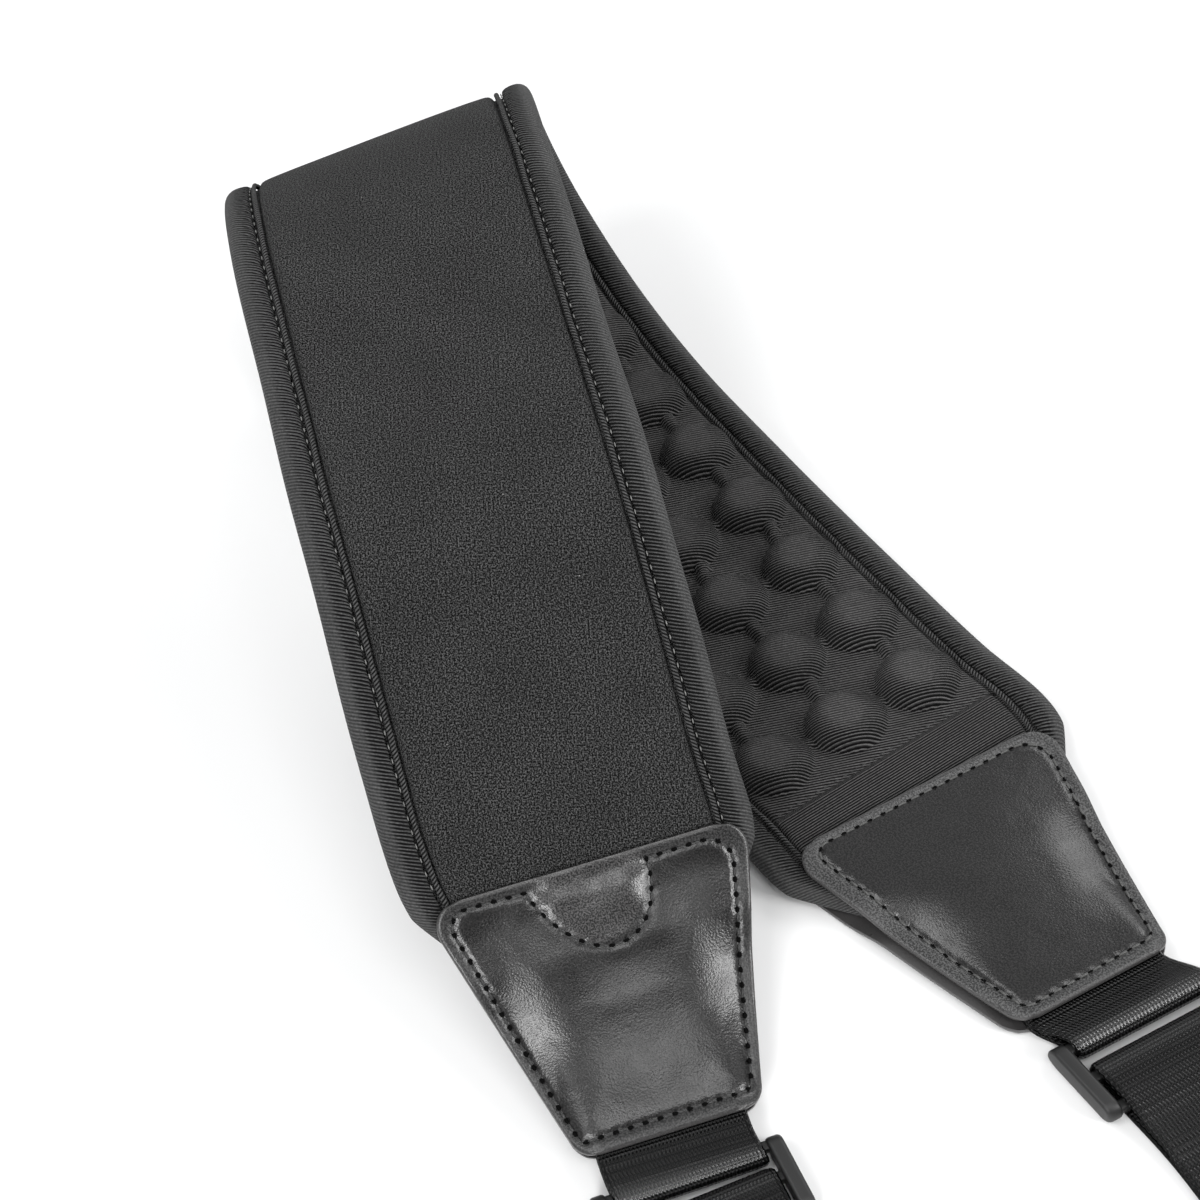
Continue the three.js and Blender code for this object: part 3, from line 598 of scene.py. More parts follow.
def bubble_height(s, w):
    """Height of the bubbles and their tubes over the face, and how far the jersey is stretched, plus
    painted shade on the left and lower flanks, a painted shadow at the foot and painted light on top.
    """
    row = np.clip(np.round((LAST_ROW - s) / ROW_PITCH), 0, ROWS - 1)
    row_s = LAST_ROW - row * ROW_PITCH
    sway = 1.8 * (1 - smooth(row_s, 450, 560)) + 0.3 * np.sin(2.4 * row)
    column = np.clip(np.round((w - sway) / COLUMN_PITCH), -1, 1)
    ds = s - row_s
    dw = w - sway - column * COLUMN_PITCH
    unlike = 1 + 0.03 * np.sin(5 * row + 2 * column)
    angle = np.arctan2(ds, dw)
    radius = BUBBLE_RADIUS * unlike * (1 + 0.05 * np.cos(2 * angle) + 0.02 * np.cos(4 * angle)
                                       + 0.015 * np.cos(3 * angle + row))
    reach = np.hypot(ds, dw) + 1e-6
    share = np.minimum(reach / radius, 1)
    dome = BUBBLE_HEIGHT * unlike * np.cos(math.pi / 2 * share ** 2.3) ** 0.85
    first_s = LAST_ROW - (ROWS - 1) * ROW_PITCH
    between = (s > first_s) & (s < LAST_ROW)
    tube_share = np.minimum(np.abs(dw / TUBE_RADIUS), 1)
    tube = TUBE_HEIGHT * np.sqrt(1 - tube_share ** 2) * between
    tie_share = np.minimum(np.abs(ds / TIE_HALF), 1)
    tie = TIE_HEIGHT * np.sqrt(1 - tie_share ** 2) * smooth(np.abs(dw), 8.5, 9.5)
    # The mark opens the furrows where the jersey is stretched over a bubble's flank and over the ties.
    # It also paints shade on the left flank and the lower flank, a painted shadow round the lower-left
    # foot and a little painted light on the top.
    out = reach / radius
    lower = 1 - smooth(-ds / reach, 0.15, 0.9)
    flank = smooth(share, 0.3, 0.85) * (1 - smooth(share, 0.95, 1.02)) * lower
    # Painted shade on the left flank.
    left = smooth(share, 0.45, 0.95) * (1 - smooth(out, 0.97, 1.04)) * smooth(-dw / reach, -0.2, 0.8)
    # Painted shadow on the ground round the lower-left foot.
    foot = (1 - smooth(out, 1.02, 1.4)) * (share >= 1) * smooth((0.5 * ds - 0.8 * dw) / reach, -0.1, 0.8)
    # Painted light: the top's furrows are drawn a little shallower.
    top = (1 - smooth(share, 0.9, 1.0)) * (1 - flank)
    flank = flank * (0.55 + 0.45 * np.abs(dw) / reach)
    stretched_and_shaded = 0.9 * left + 0.4 * foot + 1.1 * flank - 0.12 * top
    pull_and_shade = np.maximum(0.4 * smooth(tube - dome, 0.0, 0.8), 0.9 * smooth(tie - dome, 0.0, 0.5))
    stretched_and_shaded = np.where(pull_and_shade > 0.05, np.maximum(stretched_and_shaded, pull_and_shade), stretched_and_shaded)
    return np.maximum(np.maximum(dome, tube), tie), stretched_and_shaded


def inner_top(s, w, half):
    """Height of the inner face under the middle surface, as a positive number."""
    inward = half - GROOVE - np.abs(w)
    face = 2.3 + 1.6 * (1 - np.exp(-inward / 0.5)) + 0.1 * drift(s, w, 5, 30)
    sheet = smooth(s, SEAM_A - 0.6, SEAM_A + 0.8) * (1 - smooth(s, SEAM_B - 0.8, SEAM_B + 0.6))
    stitched = sum(0.35 * np.exp(-((s - seam) / 0.7) ** 2) for seam in (SEAM_B - 0.9, SEAM_A + 0.9))
    height, stretched_and_shaded = bubble_height(s, w)
    return face + sheet * (height + 0.35) - stitched, mix(0.45, stretched_and_shaded, sheet)


stations = np.arange(BAND_START, BAND_STOP + 0.4, 0.82)
half = half_width(stations)[:, None]
reach = (half - GROOVE)
spread = np.linspace(-1, 1, 109)
inner_w = reach * np.sign(spread) * (1 - (1 - np.abs(spread)) ** 1.06)
inner_off, stretched_and_shaded = inner_top(stations[:, None], inner_w, half)
inner_side = PANEL_SIDE[:-1]
ring_w, ring_off, around = closed_ring(half, inner_side, inner_w, inner_off, -1)
pull_and_shade = np.zeros(ring_w.shape)
pull_and_shade[:, len(inner_side):len(inner_side) + inner_w.shape[1]] = stretched_and_shaded
rings = band_point(stations[:, None], ring_w, -ring_off)
on_sheet = (stations > SEAM_A) & (stations < SEAM_B)
slanted = stations[:, None] - RIB_SLANT * on_sheet[:, None] * np.concatenate([ring_w, ring_w[:, :1]], 1)
slanted[~on_sheet] *= RIBS_OFF_SHEET
# The mark is real stretch plus painted shade, a painted shadow and painted light round the bubbles.
inner_panel = sweep("inner_face", rings, slanted, around, bubble_jersey, marks={"stretch_and_shade": pull_and_shade})
wear(inner_panel, "inner_panel")
print("inner face:", len(inner_panel.data.polygons), "faces")

# %% [markdown]
# ## The edge bindings
# A ribbed tape is folded over each edge of the band and sewn down on both faces. Its ribs run
# across the tape at a slant. The needle pulls it in at every stitch, so its inner borders are
# gathered into small puffs. The puffs are geometry and the ribs are bump with dark furrows,
# which open most beside the stitches.

# %% Edge bindings
STITCH_PITCH = 3.5
TAPE = np.array([(7.7, 3.0), (7.45, 3.75), (6.9, 4.2), (6.2, 4.45), (5.2, 4.6), (4.0, 4.62), (3.0, 4.5),
                 (2.0, 4.12), (1.2, 3.55), (0.6, 2.8), (0.18, 1.7), (0.0, 0.6)])
TAPE_INSIDE = np.array([(1.2, 2.0), (2.6, 3.35), (7.2, 3.25)])
profile = np.concatenate([TAPE, TAPE[::-1] * (1, -1), TAPE_INSIDE[::-1] * (1, -1), TAPE_INSIDE])
stations = np.arange(BAND_START, BAND_STOP + 0.3, STITCH_PITCH / 7)
puff = np.abs(np.sin(math.pi * stations / STITCH_PITCH))[:, None] ** 0.6
near_stitch = smooth(profile[:, 0], 3.5, 7.6)
outside = np.arange(len(profile)) < 2 * len(TAPE)
gather = np.where(profile[:, 1] > 0, 0.22, 0.38) * near_stitch * outside
for word, side in (("left", -1), ("right", 1)):
    inset = profile[:, 0] + 0.25 * near_stitch * outside * (puff - 0.5)
    inset = inset - 0.12 * drift(stations[:, None], 0 * profile[:, 0] + 3 * side, 11, 40)
    off = profile[:, 1] * (1 - gather * (1 - puff) / 4.4)
    off = off * (1 + 0.03 * drift(stations[:, None], profile[:, 1], 12 + side, 35))
    ring_w = side * (half_width(stations)[:, None] - inset)
    around = side * arc_length(np.stack([np.abs(ring_w), off + 0 * ring_w], -1))
    # The mark opens the furrows most beside the stitches, where their painted shade is darkest.
    pull_and_shade = np.broadcast_to(1.2 * smooth(profile[:, 0], 2.0, 7.0), ring_w.shape)
    rings = band_point(stations[:, None], ring_w, off)
    tape = sweep("edge_tape_" + word, rings, stations, around, edge_tape, marks={"stretch_and_shade": pull_and_shade})
    wear(tape, "edge_binding_" + word)
    print(tape.name, len(tape.data.polygons), "faces")

# %% [markdown]
# ## The piping and its stitches
# A thin covered cord lies in the groove between each panel and its binding. The turns of its
# cover are drawn by the material, and the cord itself wanders a little and is not quite even. On
# the outer face the thread that holds the binding shows as pale dashes beside the cord. A stitch
# is a small spindle, and one function makes a whole seam of them along any path on any surface.

# %% Piping and seams
PIPING_INSET, PIPING_HEIGHT, PIPING_RADIUS = 9.2, 3.6, 0.66
PIPING_SIDES = 12


def stitches(name, path, height, place, pitch, length, radius, material, sink=0.5):
    """A seam of spindles along a flat path (n, 2). height(x, y) is the surface, place() lays it out."""
    total = run_along(path)[-1]
    count = max(1, int(round(total / pitch)))
    centres = (np.arange(count) + 0.5) * total / count
    reach = np.linspace(-1, 1, 7)
    at = centres[:, None] + reach * length / 2
    x, y = np.moveaxis(points_at(path, at), -1, 0)
    ahead = points_at(path, at + 0.2) - points_at(path, at - 0.2)
    ahead = ahead / (np.linalg.norm(ahead, axis=-1, keepdims=True) + 1e-9)
    thick = radius * np.sqrt(1.04 - reach ** 2)
    lift = height(x[:, 3], y[:, 3])[:, None] + radius * (1 - sink) - 1.2 * radius * reach ** 2
    turn = np.arange(8) * math.pi / 4
    out = thick[:, None] * np.cos(turn)
    px, py = x[..., None] - ahead[..., 1:] * out, y[..., None] + ahead[..., :1] * out
    points = place(px, py, lift[..., None] + thick[:, None] * np.sin(turn))
    n, m, k = points.shape[:3]
    sides, caps = tube_faces(points[0])
    flat = np.stack([np.repeat(reach * length / 2, k), np.tile(turn * radius, m)], 1)
    faces, uv = [], []
    for number in range(n):
        for face in sides.tolist() + caps.tolist():
            faces.append([i + number * m * k for i in face])
            uv.extend(flat[face])
    seam = make_piece(name, points.reshape(-1, 3), faces, uv, material, sharp=80)
    return wear(seam, None)


stations = np.arange(ENDS["a"]["edge"] - 5, ENDS["b"]["edge"] + 5, 0.8)
angle = np.arange(PIPING_SIDES) * 2 * math.pi / PIPING_SIDES
for face_word, face in (("outer", 1), ("inner", -1)):
    for word, side in (("left", -1), ("right", 1)):
        radius = PIPING_RADIUS + 0.06 * drift(stations[:, None], 0 * angle, 21, 5)
        sway = 0.12 * drift(stations, 0 * stations, 22 + side, 23)
        centre_w = half_width(stations) - PIPING_INSET + sway
        ring_w = side * (centre_w[:, None] + radius * np.cos(angle))
        ring_off = face * (PIPING_HEIGHT + radius * np.sin(angle))
        around = np.append(angle, 2 * math.pi) * PIPING_RADIUS
        rings = band_point(stations[:, None], ring_w, ring_off)
        cord = sweep("cord_" + face_word + "_" + word, rings, stations, around, cord_cover, sharp=80)
        wear(cord, "piping_" + face_word + "_" + word)

seam_s = np.arange(ENDS["a"]["edge"] + 1, ENDS["b"]["edge"] - 1, 1.0)
for word, side in (("left", -1), ("right", 1)):
    path = np.stack([seam_s, side * (half_width(seam_s) - 8.0)], 1)
    stitches("cover_seam_" + word, path, lambda s, w: 0 * s + 3.35, band_point,
             STITCH_PITCH, 1.4, 0.17, pale_thread)
for word, seam in (("a", SEAM_A + 0.9), ("b", SEAM_B - 0.9)):
    across = np.linspace(-33, 33, 67)
    path = np.stack([seam + 0 * across, across], 1)
    stitches("pad_seam_" + word, path, lambda s, w: inner_top(s, w, half_width(s))[0],
             lambda s, w, off: band_point(s, w, -off), 2.9, 2.0, 0.19, thread)

# %% [markdown]
# ## The outline of a leather end and of its stitches
# Each end is two leathers, sewn together round the band and the webbing. Their
# outline is a wedge with round corners. The seam runs a few millimetres inside it, and on the
# outer leather of end a it dips in a U, where the leather is only glued down. A path is given
# by its corners and how round each is, and a helper fills in the arcs.

# %% Leather outlines
LEATHER_WIDE, LEATHER_NARROW = 40.3, 22.2
CORNER_WIDE, CORNER_NARROW = 9.0, 4.5
SEAM_STEP = 0.5


def leather_half(u):
    """Half the leather's width, with its corners rounded."""
    straight = mix(LEATHER_WIDE, LEATHER_NARROW, u / LEATHER_LENGTH)
    wide = CORNER_WIDE - np.sqrt(np.maximum(0, CORNER_WIDE ** 2 - np.maximum(0, CORNER_WIDE - u) ** 2))
    past = np.maximum(0, u - LEATHER_LENGTH + CORNER_NARROW)
    narrow = CORNER_NARROW - np.sqrt(np.maximum(0, CORNER_NARROW ** 2 - past ** 2))
    return straight - wide - narrow


def rounded(corners):
    """A closed path through corners given as (u, w, radius), each corner turned in an arc."""
    path = []
    for (x0, y0, _), (x1, y1, radius), (x2, y2, _) in zip(corners[-1:] + corners[:-1], corners,
                                                           corners[1:] + corners[:1]):
        here = np.array([x1, y1])
        back, onward = np.array([x0, y0]) - here, np.array([x2, y2]) - here
        back, onward = back / np.linalg.norm(back), onward / np.linalg.norm(onward)
        half_angle = math.acos(float(np.clip(back @ onward, -1, 1))) / 2
        start, stop = (here + way * radius / math.tan(half_angle) for way in (back, onward))
        middle = here + (back + onward) / np.linalg.norm(back + onward) * radius / math.sin(half_angle)
        for share in np.linspace(0, 1, 7):
            spoke = mix(start, stop, share) - middle
            path.append(middle + spoke / (np.linalg.norm(spoke) + 1e-9) * radius)
    return np.array(path)


def filled(path):
    """The closed path again, with points every SEAM_STEP."""
    closed = np.concatenate([path, path[:1]])
    return points_at(closed, np.arange(0, run_along(closed)[-1], SEAM_STEP))


turn = np.linspace(0, math.pi, 17)[1:-1]
dip = np.stack([3 + 18.4 * np.sin(turn) ** np.where(turn < math.pi / 2, 1.5, 1),
                1.8 * np.sin(turn) ** 2 - 15.3 * np.cos(turn)], 1)
around_dip = rounded([(2.4, -35.9, 4.5), (2.9, -15.3, 0.8), (3.1, 15.2, 0.8), (3.0, 37.4, 6),
                      (65.0, 21.8, 3), (65.2, -21.4, 1.5)])
SEAMS = {
    "a": filled(np.concatenate([around_dip[:14], dip, around_dip[14:]])),
    "b": filled(rounded([(2.2, -32.3, 3.5), (2.4, 34.6, 6), (65, 19.8, 3.5), (66, -17.3, 2.5)])),
}
WHOLE_SEAMS = {"a": filled(around_dip), "b": SEAMS["b"]}
print("seam lengths, mm:", {end: round(len(path) * SEAM_STEP) for end, path in SEAMS.items()})

# %% [markdown]
# ## The height of a leather
# The seam pulls the two leathers together, so the leather lies flat outside it and is puffed up
# like a pillow inside it, over the padded band and the webbing. Its height is a function of the
# distance from the seam, with a small dent at every stitch. The under leather is less puffed.

# %% Leather height
LEATHER_STITCH = 3.75
POCKET_LIFT, SEAM_DEEP, STITCH_DEEP = 1.3, 0.32, 0.22


def distance_to(path, u, w):
    """Distance of each point (u, w) from a closed path, negative inside it."""
    shape = u.shape
    points = np.stack([u.ravel(), w.ravel()], 1)
    near = np.full(len(points), 1e9)
    inside = np.zeros(len(points), bool)
    for a, b in zip(path, np.roll(path, -1, 0)):
        near = np.minimum(near, np.hypot(*(points - a).T))
        if a[1] != b[1]:
            crosses = (points[:, 1] < a[1]) != (points[:, 1] < b[1])
            at = a[0] + (points[:, 1] - a[1]) * (b[0] - a[0]) / (b[1] - a[1])
            inside ^= crosses & (points[:, 0] < at)
    return np.where(inside, -near, near).reshape(shape)


def seam_path(letter, face):
    """The seam as it shows on one face. Only the outer one follows the dip."""
    return SEAMS[letter] if face > 0 else WHOLE_SEAMS[letter]


def stitch_centres(path):
    """Points of a filled path, one stitch apart."""
    run = len(path) * SEAM_STEP
    count = int(round(run / LEATHER_STITCH))
    return path[(np.arange(count) * run / count / SEAM_STEP).astype(int)]


def leather_up(letter, u, w, face, dents=True):
    """Height of a leather's outer side from the middle surface, and its distance from the seam."""
    upper, pocket = face > 0, face > 0 and letter == "a"
    away = distance_to(seam_path(letter, face), u, w)
    pad = BINDING_FACE * pinch_at(u) + 0.3
    on_webbing = 2.5 * (1 - smooth(np.abs(w), 16, 26)) * smooth(u, 30, 64)
    flat_up = np.maximum(mix(pad, 0.5, smooth(u, 20, 33)), on_webbing) + LEATHER_THICK
    full = leather_inside(u) + LEATHER_THICK
    if upper:
        side = 1 - (np.abs(w) / leather_half(np.clip(u, 9, 64))) ** 2
        rise = np.sin(math.pi * (u + 6) / 78)
        if pocket:
            rise = smooth(u, 6, 38) * (1 - 0.7 * smooth(u, 52, 72))
        full = full + 1.5 * rise * np.maximum(0, side)
        full = full + 0.18 * drift(u, w, 31 if pocket else 37, 42)
    if pocket:
        glued_up = (1 - smooth(u, 18, 32)) * (1 - smooth(np.abs(w), 11, 20)) * smooth(u, 2, 8)
        flat_up = flat_up + POCKET_LIFT * glued_up
        full = full + POCKET_LIFT * (1 - smooth(u, 19, 33)) * (1 - smooth(np.abs(w), 12, 30))
    inside = np.clip((-away - 0.2) / (15 if upper else 9), 0, 1)
    up = mix(flat_up, full, 1 - (1 - inside) ** 2.2)
    up = up - SEAM_DEEP * np.exp(-(away / 0.85) ** 2)
    if pocket:
        patch = (1 - smooth(u, 10, 19)) * (1 - smooth(np.abs(w), 9, 14.5))
        up = up + patch * (0.6 + 0.3 * drift(u, w, 33, 16))
    if dents:
        for x, y in stitch_centres(seam_path(letter, face)):
            here = np.hypot(u - x, w - y) < 3
            up[here] -= STITCH_DEEP * np.exp(-np.hypot(u[here] - x, w[here] - y) ** 2)
    return up, away


print("stitches round a leather:", len(stitch_centres(SEAMS["a"])), "and", len(stitch_centres(SEAMS["b"])))

# %% [markdown]
# ## The leather ends
# The flat margin and the cut edge carry marks, so that the leather's finish can be rough on the
# one and pale on the other. The cut edge's mark also paints a thin highlight on the raised lip
# round the U. Between two stitches the thread goes down through a needle hole, drawn as a dark
# spindle of painted shade. The leathers are cut by hand, so their sides don't quite match.

# %% Leather ends
FUZZ = {"a": 0.28, "b": 0.75}
HOLE_RADIUS = {"a": 0.42, "b": 0.25}
SEAM_THREAD = {"a": thread, "b": grey_thread_and_sheen}
HAND_CUT = {("a", 1): (0.0, 2.0), ("a", -1): (0.0, 1.0), ("b", 1): (-1.9, -1.6), ("b", -1): (0.4, -1.6)}


def make_leather(letter, face, word):
    """One leather with its seam. face is 1 for the strap's outer side and -1 for its inner one."""
    rows = LEATHER_LENGTH * (1 - np.cos(np.linspace(0, math.pi, 15))) / 2
    u = np.unique(np.concatenate([rows[:3], np.arange(1.0, LEATHER_LENGTH - 0.6, 0.5), rows[-3:]]))
    share = np.sin(np.linspace(-1, 1, 121) * math.pi / 2 * 0.86) / math.sin(math.pi / 2 * 0.86)
    half = leather_half(u)[:, None]
    left, right = HAND_CUT[letter, face]
    cut_by_hand = np.where(share < 0, -left, right * (1 - 0.6 * u[:, None] / LEATHER_LENGTH))
    w = half * share + cut_by_hand * share ** 2
    grid_u = np.broadcast_to(u[:, None], w.shape)
    up, away = leather_up(letter, grid_u, w, face)
    inside_left, inside_right = w - w[:, :1], w[:, -1:] - w
    edge = np.minimum(np.minimum(inside_left, inside_right),
                      np.minimum(grid_u, LEATHER_LENGTH - grid_u))
    up = up - 0.35 * np.exp(-edge / 0.35)
    below = up[:, ::-6] - LEATHER_THICK + 0.25 * np.exp(-edge[:, ::-6] / 0.35)
    lip = np.array([0.55, 1.1])
    ring_w = np.concatenate([w, w[:, -1:] + 0.16 + 0 * lip, w[:, ::-6], w[:, :1] - 0.16 + 0 * lip], 1)
    ring_up = np.concatenate([up, up[:, -1:] - lip, below, up[:, :1] - lip[::-1]], 1)
    count = w.shape[1]
    margin, cut_edge_and_lip_highlight = np.zeros(ring_w.shape), np.ones(ring_w.shape)
    has_patch = letter == "a" and face > 0
    patch = (np.hypot((grid_u + 2) / 22, w / 14.5) < 1) & has_patch
    glued_and_highlit = np.zeros(ring_w.shape)
    # The U is drawn lighter: partly its own tone, partly a painted highlight.
    glued_and_highlit[:, :count] = patch * smooth(away, -0.2, 0.3)
    margin[:, :count] = FUZZ[letter] * smooth(away, -0.4, 0.3) * ~patch
    # Pale cut edge, plus a painted highlight on the raised lip round the U.
    cut_edge_and_lip_highlight[:, :count] = 0.8 * np.exp(-edge / 0.22) + 0.5 * patch * np.exp(-((away - 0.8) / 0.35) ** 2)
    around = arc_length(np.stack([ring_w, ring_up], -1))
    around[:, :count] = w
    rings = end_point(ENDS[letter], u[:, None], ring_w, face * ring_up)
    name = "leather_%s_%s" % (word, letter)
    piece = sweep(name + "_skin", rings, u, around, leather, sharp=70,
                  marks={"margin": margin, "cut_edge_and_lip_highlight": cut_edge_and_lip_highlight, "patch": glued_and_highlit})
    wear(piece, name)
    path = seam_path(letter, face)
    parts = (("seam", 0, 3.0, 0.34, 0.7, SEAM_THREAD[letter]),
             # The needle holes are dark spindles of painted shade.
             ("hole_shadows", -LEATHER_STITCH / 2, 1.8, HOLE_RADIUS[letter], 0.5, needle_hole))
    for part, start, length, radius, sink, look in parts:
        path = np.roll(path, int(round(start / SEAM_STEP)), 0)
        stitches(name + "_" + part, np.concatenate([path, path[:1]]),
                 lambda x, y: leather_up(letter, x, y, face, dents=False)[0],
                 lambda x, y, z: end_point(ENDS[letter], x, y, face * z),
                 LEATHER_STITCH, length, radius, look, sink=sink)
    return len(piece.data.polygons)


for letter, words in (("a", ("outer", "inner")), ("b", ("inner", "outer"))):
    for face, word in zip((1, -1), words):
        print("leather", word, letter, make_leather(letter, face, word), "faces")

# %% [markdown]
# ## The webbing
# Smooth woven nylon, folded round the slide's bars. It is a strip swept along its own middle
# line, seen from the side, with full round edges. The line is short straight runs and half
# turns, evened out a little so that the webbing bends as stiff webbing does.

# %% Webbing
WEBBING_HALF, WEBBING_THICK, WEBBING_STEP = 19.0, 1.6, 0.75
LOOSE_ABOUT = -15
LOOP_RADIUS = 2.9
BARS = (FIRST_BAR, 88.4, 97.6)
STUB_START, TAIL_END, TAB_START, TAB_END = 48.0, 150.0, 165.0, 245.0
TAB_THICK, TAB_HALF = 2.6, 20.0
BAR_HALF, BAR_THICK = 1.5, 2.8


def half_turn(bar, towards):
    """The webbing's path round a bar."""
    angle = np.radians(np.linspace(-90, 90, 13))
    return list(zip(bar + towards * LOOP_RADIUS * np.cos(angle), LOOP_RADIUS * np.sin(angle)))


def evened(path):
    """Points about every WEBBING_STEP along a path, its corners eased."""
    path = np.array(path)
    total = run_along(path)[-1]
    at = np.linspace(0, total, int(total / WEBBING_STEP) + 1)
    line = points_at(path, at)
    for _ in range(4):
        line[1:-1] = (line[:-2] + 2 * line[1:-1] + line[2:]) / 4
    return line, at


def make_webbing(name, end, path, loose=0.0):
    """A strip along a side view of its path. loose is how askew it stands where it rounds the bar."""
    line, at = evened(path)
    along = np.gradient(line, axis=0)
    along /= np.linalg.norm(along, axis=1)[:, None]
    across = np.linspace(-1, 1, 49)
    lens = np.sqrt(np.maximum(0.0, 1 - np.abs(across) ** 22))
    w = np.concatenate([WEBBING_HALF * across, WEBBING_HALF * across[::-1][1:-1]])
    out = WEBBING_THICK / 2 * np.concatenate([lens, -lens[::-1][1:-1]])
    u = line[:, :1] - along[:, 1:] * out
    up = line[:, 1:] + along[:, :1] * out
    w = w + 0.12 * drift(at[:, None], 0 * w, 41, 30)
    u = u + loose * (w - LOOSE_ABOUT) * smooth(u, LEATHER_LENGTH - 1, FIRST_BAR)
    around = np.append(w[0], w[0, 0])
    bend = np.linalg.norm(np.gradient(along, axis=0), axis=1) / WEBBING_STEP
    polish = np.convolve(np.minimum(bend * LOOP_RADIUS, 1), np.ones(5) / 5, "same")
    piece = sweep(name + "_weave", end_point(end, u, w, up), at, around, nylon,
                  marks={"polish": polish[:, None] + 0 * w})
    return wear(piece, name)


on_tail = -LOOP_RADIUS + WEBBING_THICK + 0.3
on_tab = -END_FLOOR + TAB_THICK + 0.3 + WEBBING_THICK / 2
for letter, end in ENDS.items():
    near, middle, far = BARS
    stub = ([(STUB_START, -1), (LEATHER_LENGTH - 1, -1)] + half_turn(near, 1)
            + [(LEATHER_LENGTH - 1, 1), (STUB_START, 1)])
    tail = ([(TAIL_END, -LOOP_RADIUS), (far, -LOOP_RADIUS)] + half_turn(middle, -1)
            + [(far, LOOP_RADIUS), (far + 6, LOOP_RADIUS - 0.6), (far + 18, on_tail + 0.6),
               (far + 24, on_tail), (TAIL_END, on_tail), (TAB_START - 4, on_tab),
               (TAB_START + 24, on_tab)])
    make_webbing("webbing_stub_" + letter, end, stub, end["loose"])
    make_webbing("webbing_tail_" + letter, end, tail)

# %% [markdown]
# ## The slides
# A three-bar slide is injection moulded in acetal, so every edge is rounded and the skin is
# fine and even. The two side rails are blocks with well rounded ends, and three thinner bars
# join them. The blocks are bevelled, and a boolean union makes them one closed body.

# %% Slides
SLIDE_HALF, WINDOW_HALF = 24.2, 20.2
RAIL_THICK, RAIL_PAST_BARS, RAIL_ROUND = 7.2, 0.6, 3.2


def block(low, high, bevel, ends=0.0):
    """A box between two corners with rounded edges, as a loose object in mm. ends is a larger
    radius for the four edges that run across the strap."""
    shape = bmesh.new()
    bmesh.ops.create_cube(shape, size=1)
    for vertex in shape.verts:
        vertex.co = [mix(a, b, c + 0.5) for a, b, c in zip(low, high, vertex.co)]
    if ends:
        crossing = [e for e in shape.edges if abs(e.verts[0].co.y - e.verts[1].co.y) > 0.1]
        bmesh.ops.bevel(shape, geom=crossing, offset=ends, segments=6, profile=0.5, affect="EDGES")
    square = [e for e in shape.edges if e.calc_face_angle() > 1.2]
    bmesh.ops.bevel(shape, geom=square, offset=bevel, segments=4, profile=0.5, affect="EDGES")
    mesh = bpy.data.meshes.new("block")
    shape.to_mesh(mesh)
    shape.free()
    return new_object("block", mesh)


def finished_mesh(loose):
    """Points and faces of an object with its modifiers applied. The object is removed."""
    shape = loose.evaluated_get(bpy.context.evaluated_depsgraph_get()).to_mesh()
    sewn = bmesh.new()
    sewn.from_mesh(shape)
    bmesh.ops.remove_doubles(sewn, verts=list(sewn.verts), dist=0.001)
    points = np.array([tuple(v.co) for v in sewn.verts])
    faces = [[v.index for v in face.verts] for face in sewn.faces]
    sewn.free()
    bpy.data.objects.remove(loose)
    return points, faces


def lay_on_end(name, end, loose, material, sharp, pale_edge=None):
    """Turns a loose object, drawn in (u, w, up) millimetres, into a piece that lies on an end."""
    drawn, faces = finished_mesh(loose)
    laid = end_point(end, drawn[:, 0], drawn[:, 1], drawn[:, 2])
    fans = np.array([(face[0], face[i], face[i + 1]) for face in faces for i in range(1, len(face) - 1)])
    if np.einsum("ij,ij->", laid[fans[:, 0]], np.cross(laid[fans[:, 1]], laid[fans[:, 2]])) < 0:
        faces = [face[::-1] for face in faces]
    uv = [drawn[i, :2] + (0, drawn[i, 2]) for face in faces for i in face]
    marks = {"cut_edge_and_lip_highlight": np.abs(drawn[:, 2] - drawn[:, 2].mean()) < pale_edge} if pale_edge else None
    return make_piece(name, laid, faces, uv, material, sharp, marks)


for letter, end in ENDS.items():
    low_u, high_u = BARS[0] - BAR_HALF - RAIL_PAST_BARS, BARS[-1] + BAR_HALF + RAIL_PAST_BARS
    low_up, high_up = -RAIL_THICK / 2, RAIL_THICK / 2
    slide = block((low_u, -SLIDE_HALF, low_up), (high_u, -WINDOW_HALF, high_up), 1.0, RAIL_ROUND)
    parts = [block((low_u, WINDOW_HALF, low_up), (high_u, SLIDE_HALF, high_up), 1.0, RAIL_ROUND)]
    for bar in BARS:
        parts.append(block((bar - BAR_HALF, -WINDOW_HALF - 2, -BAR_THICK / 2),
                           (bar + BAR_HALF, WINDOW_HALF + 2, BAR_THICK / 2), 0.7))
    for part in parts:
        joined = slide.modifiers.new("join", "BOOLEAN")
        joined.operation = "UNION"
        joined.object = part
    body = lay_on_end("slide_%s_body" % letter, end, slide, acetal, 35)
    for part in parts:
        bpy.data.objects.remove(part)
    wear(body, "slide_" + letter)
    print(body.name, len(body.data.polygons), "faces")

# %% [markdown]
# ## The end tabs
# Each strap ends in a thick leather tab with a keyhole: the guitar's button goes through the
# round hole and pulls into the slit. The outline is a filled curve with a second curve as the
# hole, given thickness and a small bevel. A seam runs round the tab, and a box of stitches with
# a cross holds the webbing on it.

# %% End tabs
HOLE_AT, BUTTON_HOLE = 226.0, 4.0
SLIT, SLIT_HALF = 15.0, 0.6
TAB_BEVEL, RIM_INSET = 0.3, 3
BOX_START, BOX_STOP, BOX_HALF = 168.0, 186.0, 15.0


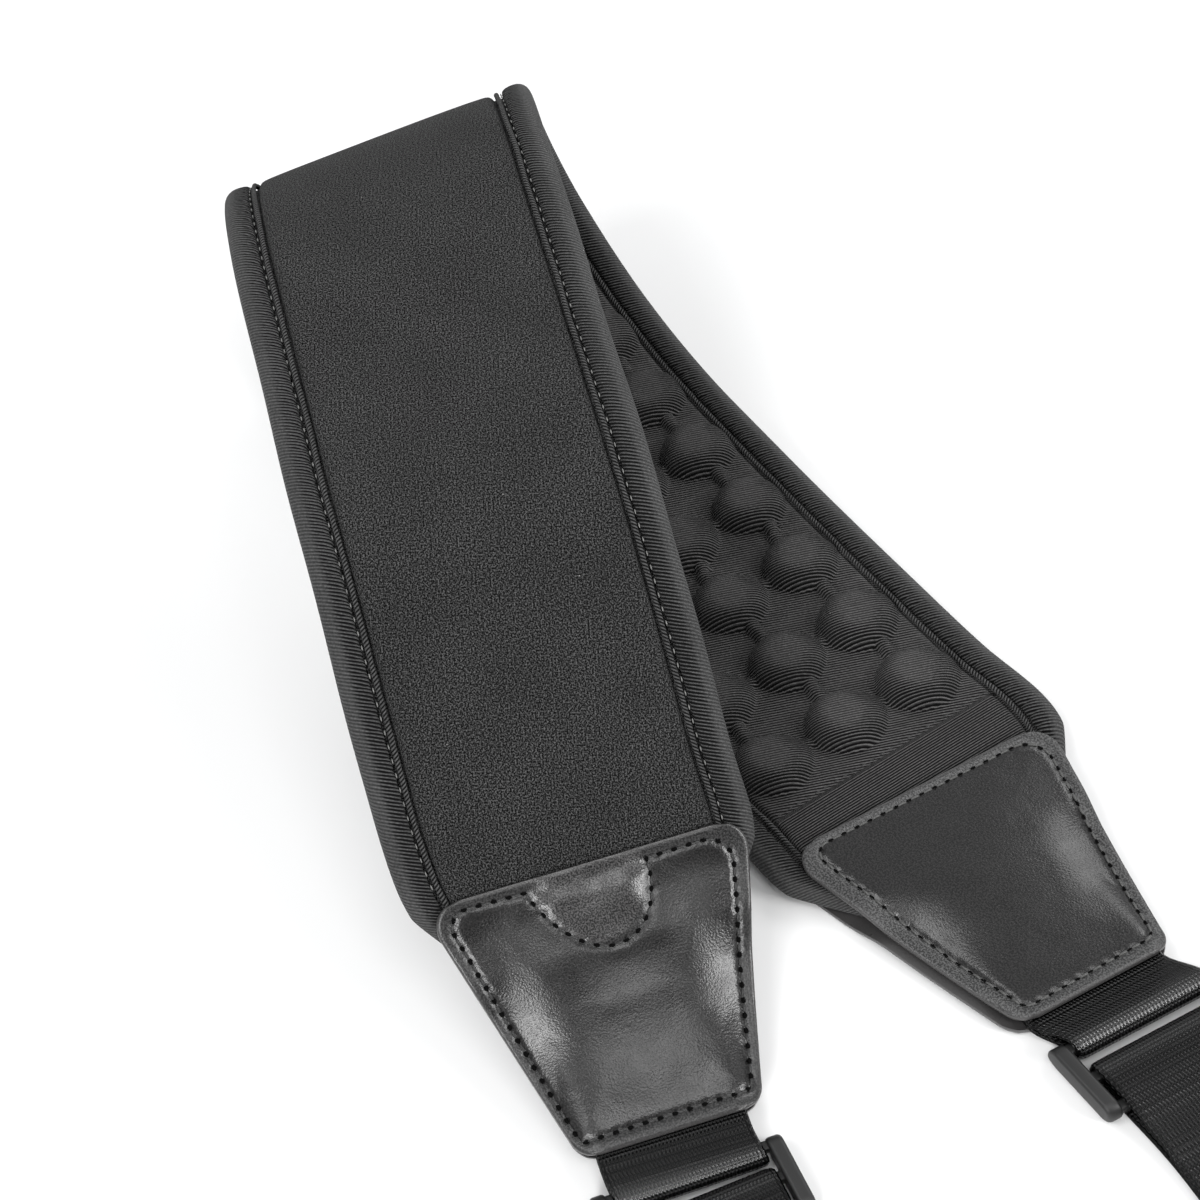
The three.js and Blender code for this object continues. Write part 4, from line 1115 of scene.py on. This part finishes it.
def tab_outlines():
    """The tab's edge and its keyhole, as closed outlines."""
    nose = TAB_END - TAB_HALF
    angle = np.linspace(-math.pi / 2, math.pi / 2, 33)
    tongue = [(TAB_START, -TAB_HALF)] + list(zip(nose + TAB_HALF * np.cos(angle), TAB_HALF * np.sin(angle)))
    tongue.append((TAB_START, TAB_HALF))
    narrow = math.asin(SLIT_HALF / BUTTON_HOLE)
    angle = np.linspace(math.pi + narrow, 3 * math.pi - narrow, 33)
    keyhole = list(zip(HOLE_AT + BUTTON_HOLE * np.cos(angle), BUTTON_HOLE * np.sin(angle)))
    keyhole += [(HOLE_AT - SLIT, SLIT_HALF), (HOLE_AT - SLIT, -SLIT_HALF)]
    return tongue, keyhole


for letter, end in ENDS.items():
    curve = bpy.data.curves.new("tab", "CURVE")
    curve.dimensions = "2D"
    curve.fill_mode = "BOTH"
    curve.bevel_depth = TAB_BEVEL
    curve.offset = -TAB_BEVEL
    curve.bevel_resolution = 2
    curve.extrude = TAB_THICK / 2 - TAB_BEVEL
    for outline in tab_outlines():
        line = curve.splines.new("POLY")
        line.points.add(len(outline) - 1)
        line.points.foreach_set("co", np.array([(u, w, 0, 1) for u, w in outline]).ravel())
        line.use_cyclic_u = True
    loose = new_object("tab", curve)
    tab = lay_on_end("tab_%s_leather" % letter, end, loose, leather, 50, pale_edge=TAB_THICK / 2 - 0.2)
    tab.data.transform(Matrix.Translation((0, 0, (TAB_THICK / 2 - END_FLOOR) * MM)))
    wear(tab, "end_tab_" + letter)
    nose, side = TAB_END - TAB_HALF, TAB_HALF - RIM_INSET
    rim = rounded([(TAB_START + RIM_INSET, -side, 1), (nose, -side, 0.5), (TAB_END - RIM_INSET, -12, 11),
                   (TAB_END - RIM_INSET, 12, 11), (nose, side, 0.5), (TAB_START + RIM_INSET, side, 1)])
    box = np.array([(BOX_START, -BOX_HALF), (BOX_STOP, -BOX_HALF), (BOX_STOP, BOX_HALF),
                    (BOX_START, BOX_HALF), (BOX_START, -BOX_HALF), (BOX_STOP, BOX_HALF),
                    (BOX_STOP, -BOX_HALF), (BOX_START, BOX_HALF)])
    seams = (("tab", rim, TAB_THICK - END_FLOOR, 3.4, 2.5, "leather"),
             ("tail", box, on_tab + WEBBING_THICK / 2, 3.0, 2.3, "webbing"))
    for word, path, top, pitch, length, slot in seams:
        stitches("%s_%s_seam" % (word, letter), path, lambda x, y: 0 * x + top,
                 lambda x, y, z: end_point(end, x, y, z), pitch, length, 0.34, thread)
